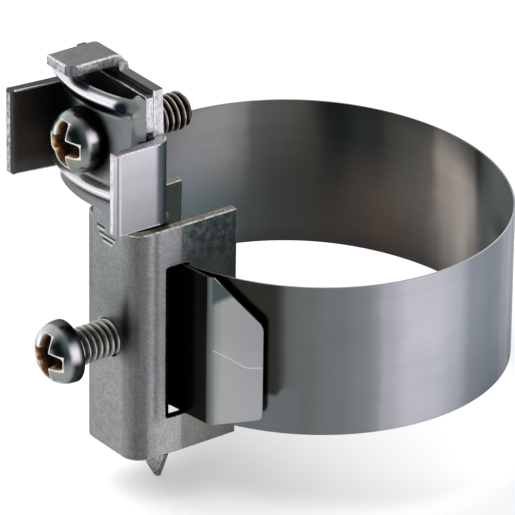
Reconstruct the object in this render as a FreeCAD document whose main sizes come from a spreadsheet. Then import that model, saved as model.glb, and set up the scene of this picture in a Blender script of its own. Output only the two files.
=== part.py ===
import FreeCAD, Part
import math
import os
import re
import Sketcher

# Earthing pipe clamp: a strap looped round a pipe, a bent sheet channel that tightens it,
# and a conductor terminal on the channel's tongue.
# Frame: +Z runs along the pipe, the origin is on the pipe's axis at the strap's mid height,
# the channel stands at -Y and the strap's folded end is on its +X side. Lengths in mm.

SIZES = {
    # strap and its oval loop, seen along the pipe
    "strap_width": 25.0,
    "strap_gauge": 0.3,
    "loop_half_width": 33.7,
    "loop_flattening": 2.6,
    "loop_side_inset": 3.7,
    "loop_shift": 2.8,
    "lead_in_radius": 8.0,
    "rear_layer_slope": 2.0,
    "rear_layer_inset": 0.45,
    "front_layer_slope": 7.0,
    "hook_reach": 5.0,
    "hook_radius": 0.6,
    "hook_gap": 0.75,
    "fold_angle": 29.0,
    "fold_radius": 1.0,
    "fold_reach": 5.0,
    "fold_length": 9.0,
    "fold_trim_top": 6.4,
    "fold_trim_bottom": 2.8,
    "fold_corner": 0.8,
    # channel
    "sheet_gauge": 1.5,
    "channel_width": 14.3,
    "channel_taper": 0.45,
    "web_stand": 8.2,
    "wing_overlap": 10.7,
    "far_wing_overlap": 9.8,
    "crease_overlap": 0.5,
    "channel_top": 19.3,
    "channel_bottom": 19.0,
    "bend_inside": 1.3,
    "slot_ahead": 2.3,
    "slot_behind": 2.0,
    "slot_clearance": 0.3,
    "slot_corner": 0.4,
    # tongue above the channel
    "neck_width": 12.4,
    "neck_root": 5.0,
    "neck_root_width": 7.8,
    "shoulder_rise": 3.9,
    "tongue_drop": 0.1,
    "ear_reach": 9.7,
    "ear_above": 3.2,
    "ear_corner": 0.6,
    # screws
    "thread_diameter": 6.0,
    "thread_clearance": 0.06,
    "head_diameter": 10.0,
    "head_rim": 1.5,
    "head_height": 4.4,
    "tip_chamfer": 0.7,
    "recess_span": 6.6,
    "recess_arm": 1.3,
    "recess_depth": 2.6,
    "terminal_rise": 15.3,
    "terminal_screw_length": 17.9,
    "tension_screw_length": 14.6,
    "seat_gap": 0.05,
    # threaded collars pressed out of the sheet
    "collar_wall": 1.2,
    "web_collar_height": 1.8,
    "rivet_lip": 0.7,
    "rivet_lip_height": 0.8,
    # pressure piece inside the channel
    "piece_gauge": 0.8,
    "piece_clearance": 0.55,
    "piece_stand": 0.4,
    "piece_rise": 2.1,
    "piece_lip": 1.8,
    "knee_drop": 1.4,
    "tip_drop": 7.7,
    "piece_tip_advance": 2.0,
    "piece_tip_width": 0.8,
    "piece_bend": 0.5,
    # arched pressure plate of the terminal
    "plate_width": 20.4,
    "plate_above": 9.4,
    "plate_below": 10.3,
    "plate_gauge": 1.4,
    "plate_rest": 0.29,
    "arch_radius": 21.0,
    "arch_end_radius": 2.4,
    "plate_corner": 0.8,
    "plate_hole_clearance": 0.3,
    "bead_radius": 1.35,
    "bead_hollow_radius": 0.6,
    "upper_bead_inset": 1.5,
    "lower_bead_inset": 3.3,
    "bead_half_angle": 23.0,
    # terminal bracket with its roof, flap and side guard
    "bracket_gauge": 1.7,
    "bracket_bend": 0.6,
    "side_gap": 0.2,
    "guard_ahead": 7.3,
    "guard_below": 11.0,
    "guard_above": 2.4,
    "flap_ahead": 9.3,
    "flap_splay": 1.7,
    "flap_below": 9.6,
    "flap_above": 4.4,
    "roof_left": 5.7,
    "roof_right": 0.5,
    "roof_ahead": 7.2,
    "roof_gap": 1.3,
    "roof_corner": 1.4,
    "roof_root": 1.2,
    "back_rise": 0.5,
}

# Places and sizes that hang on other sizes
LINKED = {
    "loop_half_depth": "loop_half_width - loop_flattening",
    "web_distance": "loop_half_depth + web_stand",
    "wing_distance": "loop_half_depth - wing_overlap",
    "far_wing_distance": "loop_half_depth - far_wing_overlap",
    "wing_crease": "loop_half_depth - crease_overlap",
    "slot_front": "loop_half_depth + slot_ahead",
    "slot_back": "loop_half_depth - slot_behind",
    "terminal_height": "channel_top + terminal_rise",
    "neck_shoulder": "channel_top + shoulder_rise",
    "tongue_top": "plate_top - tongue_drop",
    "ear_bottom": "terminal_height + ear_above",
    "piece_width": "channel_width - 2 * (sheet_gauge + piece_clearance)",
    "piece_distance": "loop_half_depth + piece_stand",
    "piece_top": "channel_top + piece_rise",
    "piece_knee": "channel_bottom + knee_drop",
    "piece_tip": "channel_bottom + tip_drop",
    "plate_top": "terminal_height + plate_above",
    "plate_bottom": "terminal_height - plate_below",
    "arch_rise": "arch_radius - sqrt((arch_radius - arch_end_radius) ^ 2"
                 " - (0.5 * plate_width - arch_end_radius) ^ 2)",
    "plate_front": "web_distance + plate_rest + arch_rise",
    "guard_reach": "web_distance + guard_ahead",
    "guard_bottom": "terminal_height - guard_below",
    "guard_top": "terminal_height + guard_above",
    "flap_reach": "web_distance + flap_ahead",
    "flap_bottom": "terminal_height - flap_below",
    "flap_top": "terminal_height + flap_above",
    "roof_reach": "web_distance + roof_ahead",
    "roof_top": "plate_top + roof_gap + bracket_gauge",
    "back_top": "plate_top + back_rise",
}

# How far from its stated place an edge may be found
EDGE_SEARCH = 0.6

START, END, CENTRE = 1, 2, 3
ORIGIN = (-1, 1)
UP = FreeCAD.Vector(0, 0, 1)

doc = FreeCAD.newDocument("EarthingPipeClamp")
sheet = doc.addObject("Spreadsheet::Sheet", "Sizes")
for row, (alias, size) in enumerate(SIZES.items(), start=1):
    sheet.set(f"A{row}", alias)
    sheet.set(f"B{row}", str(size))
    sheet.setAlias(f"B{row}", alias)
doc.recompute()


# Expressions on the sheet


def s(name):
    """Expression text for one size, spelled out where it hangs on others."""
    if name in SIZES:
        return f"Sizes.{name}"
    if name not in LINKED:
        return name
    return "(" + re.sub("[a-z_]+", lambda found: s(found[0]), LINKED[name]) + ")"


def half(name):
    """Expression text for half of one size."""
    return f"(0.5 * {s(name)})"


def number(text):
    """Present value of an expression."""
    result = sheet.evalExpression(text.replace("Sizes.", ""))
    return float(getattr(result, "Value", result))


def place(x, y, z):
    """Point whose coordinates are expressions."""
    return FreeCAD.Vector(number(x), number(y), number(z))


# Sketches


def new_body(label):
    body = doc.addObject("PartDesign::Body", label)
    body.Label = label
    return body


def new_sketch(body, name, role, lift=None):
    """Sketch on an origin plane of its body, lifted along the plane's normal."""
    plane = next(item for item in body.Origin.OriginFeatures if item.Role == role)
    sketch = body.newObject("Sketcher::SketchObject", name)
    sketch.AttachmentSupport = [(plane, "")]
    sketch.MapMode = "FlatFace"
    if lift:
        sketch.setExpression("AttachmentOffset.Base.z", lift)
    doc.recompute()
    return sketch


def constrain(sketch, kind, *geometry, size=None):
    """Add a constraint, and tie its value to an expression where it has one."""
    if size is None:
        sketch.addConstraint(Sketcher.Constraint(kind, *geometry))
        return
    value = number(size)
    if kind == "Angle":
        value = math.radians(value)
        size = f"({size}) * 1 deg"
    index = sketch.addConstraint(Sketcher.Constraint(kind, *geometry, value))
    sketch.setExpression(f"Constraints[{index}]", size)


def pin(sketch, geometry, point, across=None, along=None):
    """Fix one point of a sketch at one or two expressions."""
    if across:
        constrain(sketch, "DistanceX", *ORIGIN, geometry, point, size=across)
    if along:
        constrain(sketch, "DistanceY", *ORIGIN, geometry, point, size=along)


def polygon(sketch, corners):
    """Closed outline whose corners are pairs of expressions."""
    points = [place(across, along, "0") for across, along in corners]
    first = sketch.GeometryCount
    following = points[1:] + points[:1]
    for begin, finish in zip(points, following):
        sketch.addGeometry(Part.LineSegment(begin, finish), False)
    for index, corner in enumerate(corners):
        line = first + index
        next_line = first + (index + 1) % len(corners)
        constrain(sketch, "Coincident", line, END, next_line, START)
        pin(sketch, line, START, *corner)


def rectangle(sketch, left, bottom, right, top):
    polygon(sketch, [(left, bottom), (right, bottom), (right, top), (left, top)])


def circle(sketch, across, along, radius):
    index = sketch.addGeometry(Part.Circle(place(across, along, "0"), UP, number(radius)), False)
    constrain(sketch, "Radius", index, size=radius)
    pin(sketch, index, CENTRE, across, along)


# Features


def extrude(body, kind, name, sketch, length, both_ways=False, reverse=False):
    """Pad or pocket of a sketch. A pocket has to take material away."""
    before = body.Shape.Volume if body.Tip else 0
    feature = body.newObject(f"PartDesign::{kind}", name)
    feature.Profile = sketch
    feature.SideType = "Symmetric" if both_ways else "One side"
    feature.Reversed = reverse
    feature.setExpression("Length", length)
    doc.recompute()
    if kind == "Pocket" and not feature.Shape.Volume < before:
        raise ValueError(f"{name} cuts nothing")
    return feature


def edge_near(shape, target):
    """Name of the edge whose middle lies nearest to a point."""
    gaps = [(edge.CenterOfMass - target).Length for edge in shape.Edges]
    nearest = gaps.index(min(gaps))
    if gaps[nearest] > EDGE_SEARCH:
        raise ValueError(f"no edge near {target}, the nearest is {gaps[nearest]:.2f} away")
    return f"Edge{nearest + 1}"


def dress(body, kind, name, points, **sizes):
    """Fillet or Chamfer on the edges whose middles are given."""
    base = body.Tip
    feature = body.newObject(f"PartDesign::{kind}", name)
    feature.Base = (base, [edge_near(base.Shape, point) for point in points])
    if "Size2" in sizes:
        feature.ChamferType = "Two distances"
    for dimension, expression in sizes.items():
        feature.setExpression(dimension, expression)
    doc.recompute()
    return feature


def primitive(body, kind, name, sizes, across, along, above, turn=None):
    """Additive or subtractive primitive of a body, placed by expressions."""
    feature = body.newObject(f"PartDesign::{kind}", name)
    plane = next(item for item in body.Origin.OriginFeatures if item.Role == "XY_Plane")
    feature.AttachmentSupport = [(plane, "")]
    feature.MapMode = "FlatFace"
    for dimension, expression in sizes.items():
        feature.setExpression(dimension, expression)
    feature.setExpression("AttachmentOffset.Base.x", across)
    feature.setExpression("AttachmentOffset.Base.y", along)
    feature.setExpression("AttachmentOffset.Base.z", above)
    if turn:
        feature.AttachmentOffset = FreeCAD.Placement(FreeCAD.Vector(), UP, number(turn))
        feature.setExpression("AttachmentOffset.Rotation.Angle", turn)
    doc.recompute()
    return feature


# Places that several pieces share

STRAP_HALF = half("strap_width")
CHANNEL_HALF = half("channel_width")
NECK_HALF = half("neck_width")
GAUGE = s("sheet_gauge")
WEB_FRONT = f"-{s('web_distance')}"
WEB_BACK = f"({WEB_FRONT} + {GAUGE})"
BRACKET_BACK = f"({WEB_BACK} + {s('bracket_gauge')})"
WEB_HALF = f"({CHANNEL_HALF} - {s('channel_taper')})"
BEND_OUTSIDE = f"({s('bend_inside')} + {GAUGE})"
THREAD_RADIUS = half("thread_diameter")
HOLE_RADIUS = f"({THREAD_RADIUS} + {s('thread_clearance')})"
COLLAR_RADIUS = f"({HOLE_RADIUS} + {s('collar_wall')})"
SLOT_HALF = f"({STRAP_HALF} + {s('slot_clearance')})"
TERMINAL_Z = s("terminal_height")


# Channel with its tongue, one bent and pressed sheet


def mirrored(corners):
    """Closed outline from its right half, given from the bottom round to the top."""
    return corners + [(f"-({across})", along) for across, along in corners[::-1]]


def channel():
    body = new_body("body_channel")
    crease = f"-{s('wing_crease')}"
    wing = f"-{s('wing_distance')}"
    inner = f"({CHANNEL_HALF} - {GAUGE})"
    middle = f"{half('channel_top')} - {half('channel_bottom')}"
    section = new_sketch(body, "channel_section", "XY_Plane", f"-{s('channel_bottom')}")
    near_half = [(WEB_HALF, WEB_FRONT), (CHANNEL_HALF, crease), (CHANNEL_HALF, wing), (inner, wing),
                 (inner, crease), (f"({WEB_HALF} - {GAUGE})", WEB_BACK)]
    outline = mirrored(near_half)
    far_wing = f"-{s('far_wing_distance')}"
    outline = [(across, far_wing) if across.startswith("-") and along == wing else (across, along)
               for across, along in outline]
    polygon(section, outline)
    extrude(body, "Pad", "channel_walls", section, f"{s('channel_top')} + {s('channel_bottom')}")
    dress(body, "Fillet", "outer_bends",
          [place(f"{side} * {WEB_HALF}", WEB_FRONT, middle) for side in (-1, 1)], Radius=BEND_OUTSIDE)
    dress(body, "Fillet", "inner_bends",
          [place(f"{side} * ({WEB_HALF} - {GAUGE})", WEB_BACK, middle) for side in (-1, 1)],
          Radius=s("bend_inside"))

    slot = new_sketch(body, "slot_outline", "YZ_Plane")
    rectangle(slot, f"-{s('slot_front')}", f"-{SLOT_HALF}", f"-{s('slot_back')}", SLOT_HALF)
    extrude(body, "Pocket", "strap_slots", slot, f"2 * {s('channel_width')}", both_ways=True)
    mid_wall = f"({CHANNEL_HALF} - 0.5 * {GAUGE})"
    dress(body, "Fillet", "slot_corners",
          [place(f"{side} * {mid_wall}", f"-{s(edge)}", f"{end} * {SLOT_HALF}")
           for side in (-1, 1) for edge in ("slot_front", "slot_back") for end in (-1, 1)],
          Radius=s("slot_corner"))

    tongue = new_sketch(body, "tongue_outline", "XZ_Plane", s("web_distance"))
    root = f"{s('channel_top')} - {s('neck_root')}"
    root_half, shoulder = half("neck_root_width"), s("neck_shoulder")
    polygon(tongue, [(f"-{root_half}", root), (root_half, root), (root_half, shoulder),
                     (NECK_HALF, shoulder), (NECK_HALF, s("ear_bottom")),
                     (s("ear_reach"), s("ear_bottom")), (s("ear_reach"), s("tongue_top")),
                     (f"-{NECK_HALF}", s("tongue_top")), (f"-{NECK_HALF}", shoulder),
                     (f"-{root_half}", shoulder)])
    extrude(body, "Pad", "tongue", tongue, GAUGE, reverse=True)
    mid_web = f"{WEB_FRONT} + 0.5 * {GAUGE}"
    dress(body, "Fillet", "tongue_corners",
          [place(across, mid_web, s("tongue_top")) for across in (s("ear_reach"), f"-{NECK_HALF}")],
          Radius=s("ear_corner"))

    back = f"{s('web_distance')} - {GAUGE}"
    rivet_height = f"{s('bracket_gauge')} + {s('rivet_lip_height')}"
    for name, height, radius, lift, length in (
            ("web_collar", "0", COLLAR_RADIUS, back, s("web_collar_height")),
            ("rivet_collar", TERMINAL_Z, COLLAR_RADIUS, back, rivet_height),
            ("rivet_lip", TERMINAL_Z, f"{COLLAR_RADIUS} + {s('rivet_lip')}",
             f"{back} - {s('bracket_gauge')} - {s('seat_gap')}",
             f"{s('rivet_lip_height')} - {s('seat_gap')}")):
        ring = new_sketch(body, f"{name}_outline", "XZ_Plane", lift)
        circle(ring, "0", height, radius)
        extrude(body, "Pad", name, ring, length, reverse=True)
    holes = new_sketch(body, "hole_outlines", "XZ_Plane", s("web_distance"))
    circle(holes, "0", "0", HOLE_RADIUS)
    circle(holes, "0", TERMINAL_Z, HOLE_RADIUS)
    extrude(body, "Pocket", "threaded_holes", holes, f"{s('web_distance')} - {s('slot_back')}")
    return body


# Strap, one band swept along its route


def step(heading):
    """Unit vector of a heading in degrees, counter-clockwise from +X."""
    angle = math.radians(heading)
    return FreeCAD.Vector(math.cos(angle), math.sin(angle), 0)


def left_turn(point, heading, radius, new_heading):
    """Tangent arc from a point, turning left to a new heading, and where it ends."""
    centre = point + step(heading + 90) * radius
    arc = Part.ArcOfCircle(Part.Circle(centre, UP, radius), math.radians(heading - 90),
                           math.radians(new_heading - 90))
    return arc, centre + step(new_heading - 90) * radius


def strap():
    """Band from the hooked end, through both slots, round the loop, to the folded flap."""
    body = new_body("strap")
    aside_text = s("loop_side_inset")
    short_text = f"({s('loop_side_inset')} - {s('loop_flattening')})"
    side_text = f"({s('loop_half_width')} - {s('loop_side_inset')})"
    beyond_text = f"(({aside_text} ^ 2 - {short_text} ^ 2) / (2 * {short_text}))"
    end_text = f"({s('loop_half_depth')} + {beyond_text})"
    tail_text = (f"-({CHANNEL_HALF} + {s('hook_gap')})", f"{s('hook_reach')} - {s('slot_back')}")
    rear_text = f"-({s('slot_back')} + {s('rear_layer_inset')})"
    fold_text = f"{CHANNEL_HALF} + {s('fold_reach')}"

    down, rear, front, fold = -90, number(s("rear_layer_slope")), number(s("front_layer_slope")), \
        number(s("fold_angle"))
    hook_radius, side_radius = number(s("hook_radius")), number(side_text)
    lead_radius, end_radius = number(s("lead_in_radius")), number(end_text)
    aside, beyond, shift = number(aside_text), number(beyond_text), -number(s("loop_shift"))
    # headings where the loop's arcs meet, and where the lead-in joins the loop
    corner = math.degrees(math.atan2(aside, beyond))
    rise = beyond - number(rear_text) - lead_radius * math.cos(math.radians(rear))
    meet = math.degrees(math.acos(rise / (end_radius - lead_radius)))

    front_centre = FreeCAD.Vector(shift, beyond, 0)
    meet_point = front_centre + step(meet - 90) * end_radius
    lead_start = meet_point - step(meet - 90) * lead_radius + step(rear - 90) * lead_radius
    tail = place(*tail_text, "0")
    slope = math.tan(math.radians(rear))
    hook_end = FreeCAD.Vector(tail.x + hook_radius * (1 + math.sin(math.radians(rear))), 0, 0)
    hook_end.y = lead_start.y - slope * (lead_start.x - hook_end.x)
    hook_start = hook_end - step(rear - 90) * hook_radius - FreeCAD.Vector(hook_radius, 0, 0)

    route = [Part.LineSegment(tail, hook_start)]
    arcs = [left_turn(hook_start, down, hook_radius, rear)]
    route += [arcs[0][0], Part.LineSegment(hook_end, lead_start)]
    point, heading = lead_start, rear
    for radius, new_heading in ((lead_radius, meet), (end_radius, corner), (side_radius, 180 - corner),
                                (end_radius, 180 + corner), (side_radius, 360 - corner),
                                (end_radius, 360 + front)):
        turn, point = left_turn(point, heading, radius, new_heading)
        route.append(turn)
        heading = new_heading
    fold_start = FreeCAD.Vector(number(fold_text), 0, 0)
    fold_start.y = point.y + (fold_start.x - point.x) * math.tan(math.radians(front))
    fold_arc, flap_start = left_turn(fold_start, front, number(s("fold_radius")), fold)
    flap_end = flap_start + step(fold) * number(s("fold_length"))
    route += [Part.LineSegment(point, fold_start), fold_arc, Part.LineSegment(flap_start, flap_end)]

    path = new_sketch(body, "strap_route", "XY_Plane")
    path.addGeometry(route, False)
    tail_line, hook, rear_line, lead, front_right, right, back, left, front_left, front_line, crease, \
        flap = range(len(route))
    for piece in range(len(route) - 1):
        constrain(path, "Tangent", piece, END, piece + 1, START)
    constrain(path, "Vertical", tail_line)
    pin(path, tail_line, START, *tail_text)
    for piece, radius in ((hook, s("hook_radius")), (lead, s("lead_in_radius")), (front_right, end_text),
                          (right, side_text), (back, end_text),
                          (left, side_text), (front_left, end_text),
                          (crease, s("fold_radius"))):
        constrain(path, "Radius", piece, size=radius)
    for piece, slope_text in ((rear_line, s("rear_layer_slope")), (front_line, s("front_layer_slope")),
                              (flap, s("fold_angle"))):
        constrain(path, "Angle", piece, size=slope_text)
    pin(path, rear_line, END, along=rear_text)
    pin(path, front_right, CENTRE, across=f"-{s('loop_shift')}")
    pin(path, right, CENTRE, f"{aside_text} - {s('loop_shift')}", "0")
    pin(path, left, CENTRE, f"-{aside_text} - {s('loop_shift')}", "0")
    pin(path, front_left, CENTRE, across=f"-{s('loop_shift')}")
    pin(path, front_line, END, across=fold_text)
    constrain(path, "Distance", flap, size=s("fold_length"))
    doc.recompute()

    band = new_sketch(body, "strap_section", "XZ_Plane", f"-({tail_text[1]})")
    edge = half("strap_gauge")
    rectangle(band, f"{tail_text[0]} - {edge}", f"-{STRAP_HALF}", f"{tail_text[0]} + {edge}", STRAP_HALF)
    sweep = body.newObject("PartDesign::AdditivePipe", "strap_band")
    sweep.Profile = band
    sweep.Spine = (path, [f"Edge{piece + 1}" for piece in range(len(route))])
    doc.recompute()

    tip = path.Geometry[flap].EndPoint
    trim_length = f"{s('fold_length')} - {s('fold_corner')}"
    for name, side, drop in (("flap_top_trim", 1, "fold_trim_top"),
                             ("flap_bottom_trim", -1, "fold_trim_bottom")):
        corner_edge = FreeCAD.Vector(tip.x, tip.y, side * number(STRAP_HALF))
        dress(body, "Chamfer", name, [corner_edge], Size=s(drop), Size2=trim_length)
    top = number(STRAP_HALF) - number(s("fold_trim_top"))
    bottom = number(s("fold_trim_bottom")) - number(STRAP_HALF)
    dress(body, "Fillet", "fold_corners",
          [FreeCAD.Vector(tip.x, tip.y, height) for height in (top, bottom)], Radius=s("fold_corner"))
    return body


# Screws, turned with a domed head


def screw(label, length, seat, height):
    """Screw along +Y whose head seats at the given place."""
    body = new_body(label)
    profile = new_sketch(body, f"{label}_profile", "XY_Plane")
    head_radius, chamfer = half("head_diameter"), s("tip_chamfer")
    corners = [("0", f"-{s('head_height')}"), (head_radius, f"-{s('head_rim')}"), (head_radius, "0"),
               (THREAD_RADIUS, "0"), (THREAD_RADIUS, f"{length} - {chamfer}"),
               (f"{THREAD_RADIUS} - {chamfer}", length), ("0", length)]
    points = [place(across, along, "0") for across, along in corners]
    crown = points[1].y - points[0].y
    dome_radius = (points[1].x ** 2 + crown ** 2) / (2 * crown)
    centre = points[0] + FreeCAD.Vector(0, dome_radius, 0)
    sweep = math.asin(points[1].x / dome_radius)
    dome = Part.ArcOfCircle(Part.Circle(centre, UP, dome_radius), -math.pi / 2, sweep - math.pi / 2)
    profile.addGeometry([dome] + [Part.LineSegment(begin, finish)
                                  for begin, finish in zip(points[1:], points[2:] + points[:1])], False)
    for piece, corner in enumerate(corners):
        constrain(profile, "Coincident", piece, END, (piece + 1) % len(corners), START)
        pin(profile, piece, START, *corner)
    constrain(profile, "DistanceX", *ORIGIN, 0, CENTRE, size="0")
    turned = body.newObject("PartDesign::Revolution", f"{label}_turned")
    turned.Profile = profile
    turned.ReferenceAxis = (profile, ["V_Axis"])
    turned.Angle = 360
    doc.recompute()

    cross = new_sketch(body, f"{label}_recess", "XZ_Plane", s("head_height"))
    span, arm = half("recess_span"), half("recess_arm")
    quarter = [(span, f"-{arm}"), (span, arm), (arm, arm), (arm, span)]
    half_cross = [(arm, f"-{span}"), (arm, f"-{arm}")] + quarter
    polygon(cross, mirrored(half_cross))
    extrude(body, "Pocket", f"{label}_drive", cross, s("recess_depth"))
    body.setExpression("Placement.Base.y", seat)
    body.setExpression("Placement.Base.z", height)
    return body


# Pressure piece between the channel's walls


def pressure_piece():
    body = new_body("pressure_piece")
    back = f"-{s('piece_distance')}"
    front = f"({back} - {s('piece_gauge')})"
    under_lip = f"{s('piece_top')} - {s('piece_gauge')}"
    knee, tip = f"-{s('piece_knee')}", f"-{s('piece_tip')}"
    side = new_sketch(body, "piece_side", "YZ_Plane")
    polygon(side, [(front, under_lip), (f"{front} - {s('piece_lip')}", under_lip),
                   (f"{front} - {s('piece_lip')}", s("piece_top")), (back, s("piece_top")), (back, knee),
                   (f"{back} + {s('piece_tip_advance')}", tip),
                   (f"{front} + {s('piece_tip_advance')}", tip), (front, knee)])
    extrude(body, "Pad", "piece_sheet", side, s("piece_width"), both_ways=True)
    dress(body, "Fillet", "lip_outside", [place("0", back, s("piece_top"))],
          Radius=f"{s('piece_bend')} + {s('piece_gauge')}")
    dress(body, "Fillet", "lip_inside", [place("0", front, under_lip)], Radius=s("piece_bend"))
    width, point = half("piece_width"), half("piece_tip_width")
    taper = new_sketch(body, "piece_taper", "XZ_Plane", s("piece_distance"))
    for way in (1, -1):
        polygon(taper, [(f"{way} * {point}", tip), (f"{way} * {width}", tip), (f"{way} * {width}", knee)])
    extrude(body, "Pocket", "piece_point", taper, f"4 * {s('piece_tip_advance')}", both_ways=True)
    return body


# Arched pressure plate of the terminal, with a pressed bead along its top and bottom

PLATE_HALF = half("plate_width")
PLATE_FRONT = f"-{s('plate_front')}"
ARCH_CENTRE = f"({PLATE_FRONT} + {s('arch_radius')})"


def arch_outline(body, name, lift, offset):
    """Broad arc with two small end arcs, inset by an offset and closed by a straight line."""
    sketch = new_sketch(body, name, "XY_Plane", lift)
    radius, end_radius = f"({s('arch_radius')} - {offset})", f"({s('arch_end_radius')} - {offset})"
    end_across = f"({PLATE_HALF} - {s('arch_end_radius')})"
    broad, tight, across = number(radius), number(end_radius), number(end_across)
    lean = math.asin(across / (broad - tight))
    centre = place("0", ARCH_CENTRE, "0")
    end_along = centre.y - (broad - tight) * math.cos(lean)
    down = -math.pi / 2
    left_centre, right_centre = (FreeCAD.Vector(side * across, end_along, 0) for side in (-1, 1))
    left = Part.ArcOfCircle(Part.Circle(left_centre, UP, tight), -math.pi, down - lean)
    middle = Part.ArcOfCircle(Part.Circle(centre, UP, broad), down - lean, down + lean)
    right = Part.ArcOfCircle(Part.Circle(right_centre, UP, tight), down + lean, 0)
    sketch.addGeometry([left, middle, right, Part.LineSegment(right.EndPoint, left.StartPoint)], False)
    constrain(sketch, "Tangent", 0, END, 1, START)
    constrain(sketch, "Tangent", 1, END, 2, START)
    constrain(sketch, "Coincident", 2, END, 3, START)
    constrain(sketch, "Coincident", 3, END, 0, START)
    for piece, size in enumerate((end_radius, radius, end_radius)):
        constrain(sketch, "Radius", piece, size=size)
    pin(sketch, 1, CENTRE, "0", ARCH_CENTRE)
    pin(sketch, 0, CENTRE, across=f"-{end_across}")
    pin(sketch, 2, CENTRE, across=end_across)
    constrain(sketch, "Horizontal", 2, END, 2, CENTRE)
    constrain(sketch, "Horizontal", 0, START, 0, CENTRE)
    return sketch, end_along


def pressure_plate():
    body = new_body("terminal_pressure_plate")
    height = f"{s('plate_top')} - {s('plate_bottom')}"
    outer, end_along = arch_outline(body, "arch_outside", s("plate_bottom"), "0")
    extrude(body, "Pad", "arch_block", outer, height)
    inner, _ = arch_outline(body, "arch_inside", s("plate_bottom"), s("plate_gauge"))
    extrude(body, "Pocket", "arch_hollow", inner, height, reverse=True)
    end_middle = number(f"{PLATE_HALF} - 0.5 * {s('plate_gauge')}")
    dress(body, "Fillet", "plate_corners",
          [FreeCAD.Vector(side * end_middle, end_along, number(s(level)))
           for side in (-1, 1) for level in ("plate_bottom", "plate_top")], Radius=s("plate_corner"))

    sine = f"sin({s('bead_half_angle')} * 1 deg)"
    cosine = f"cos({s('bead_half_angle')} * 1 deg)"
    for kind, arch, radius in (("Additive", s("arch_radius"), "bead_radius"),
                               ("Subtractive", f"({s('arch_radius')} - {s('plate_gauge')})",
                                "bead_hollow_radius")):
        for name, level in (("upper", f"{s('plate_top')} - {s('upper_bead_inset')}"),
                            ("lower", f"{s('plate_bottom')} + {s('lower_bead_inset')}")):
            primitive(body, f"{kind}Torus", f"{name}_{kind.lower()}_bead",
                      {"Radius1": arch, "Radius2": s(radius), "Angle3": f"2 * {s('bead_half_angle')}"},
                      "0", ARCH_CENTRE, level, turn=f"270 - {s('bead_half_angle')}")
            for side, way in (("left", -1), ("right", 1)):
                primitive(body, f"{kind}Sphere", f"{name}_{side}_{kind.lower()}_end",
                          {"Radius": s(radius)}, f"{way} * {arch} * {sine}",
                          f"{ARCH_CENTRE} - {arch} * {cosine}", level)
    hole = new_sketch(body, "plate_hole", "XZ_Plane", s("plate_front"))
    circle(hole, "0", TERMINAL_Z, f"{HOLE_RADIUS} + {s('plate_hole_clearance')}")
    extrude(body, "Pocket", "plate_screw_hole", hole, f"2 * {s('plate_gauge')}")
    return body


# Terminal bracket: back plate with a side guard, a flap and a roof bent forward from it


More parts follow.
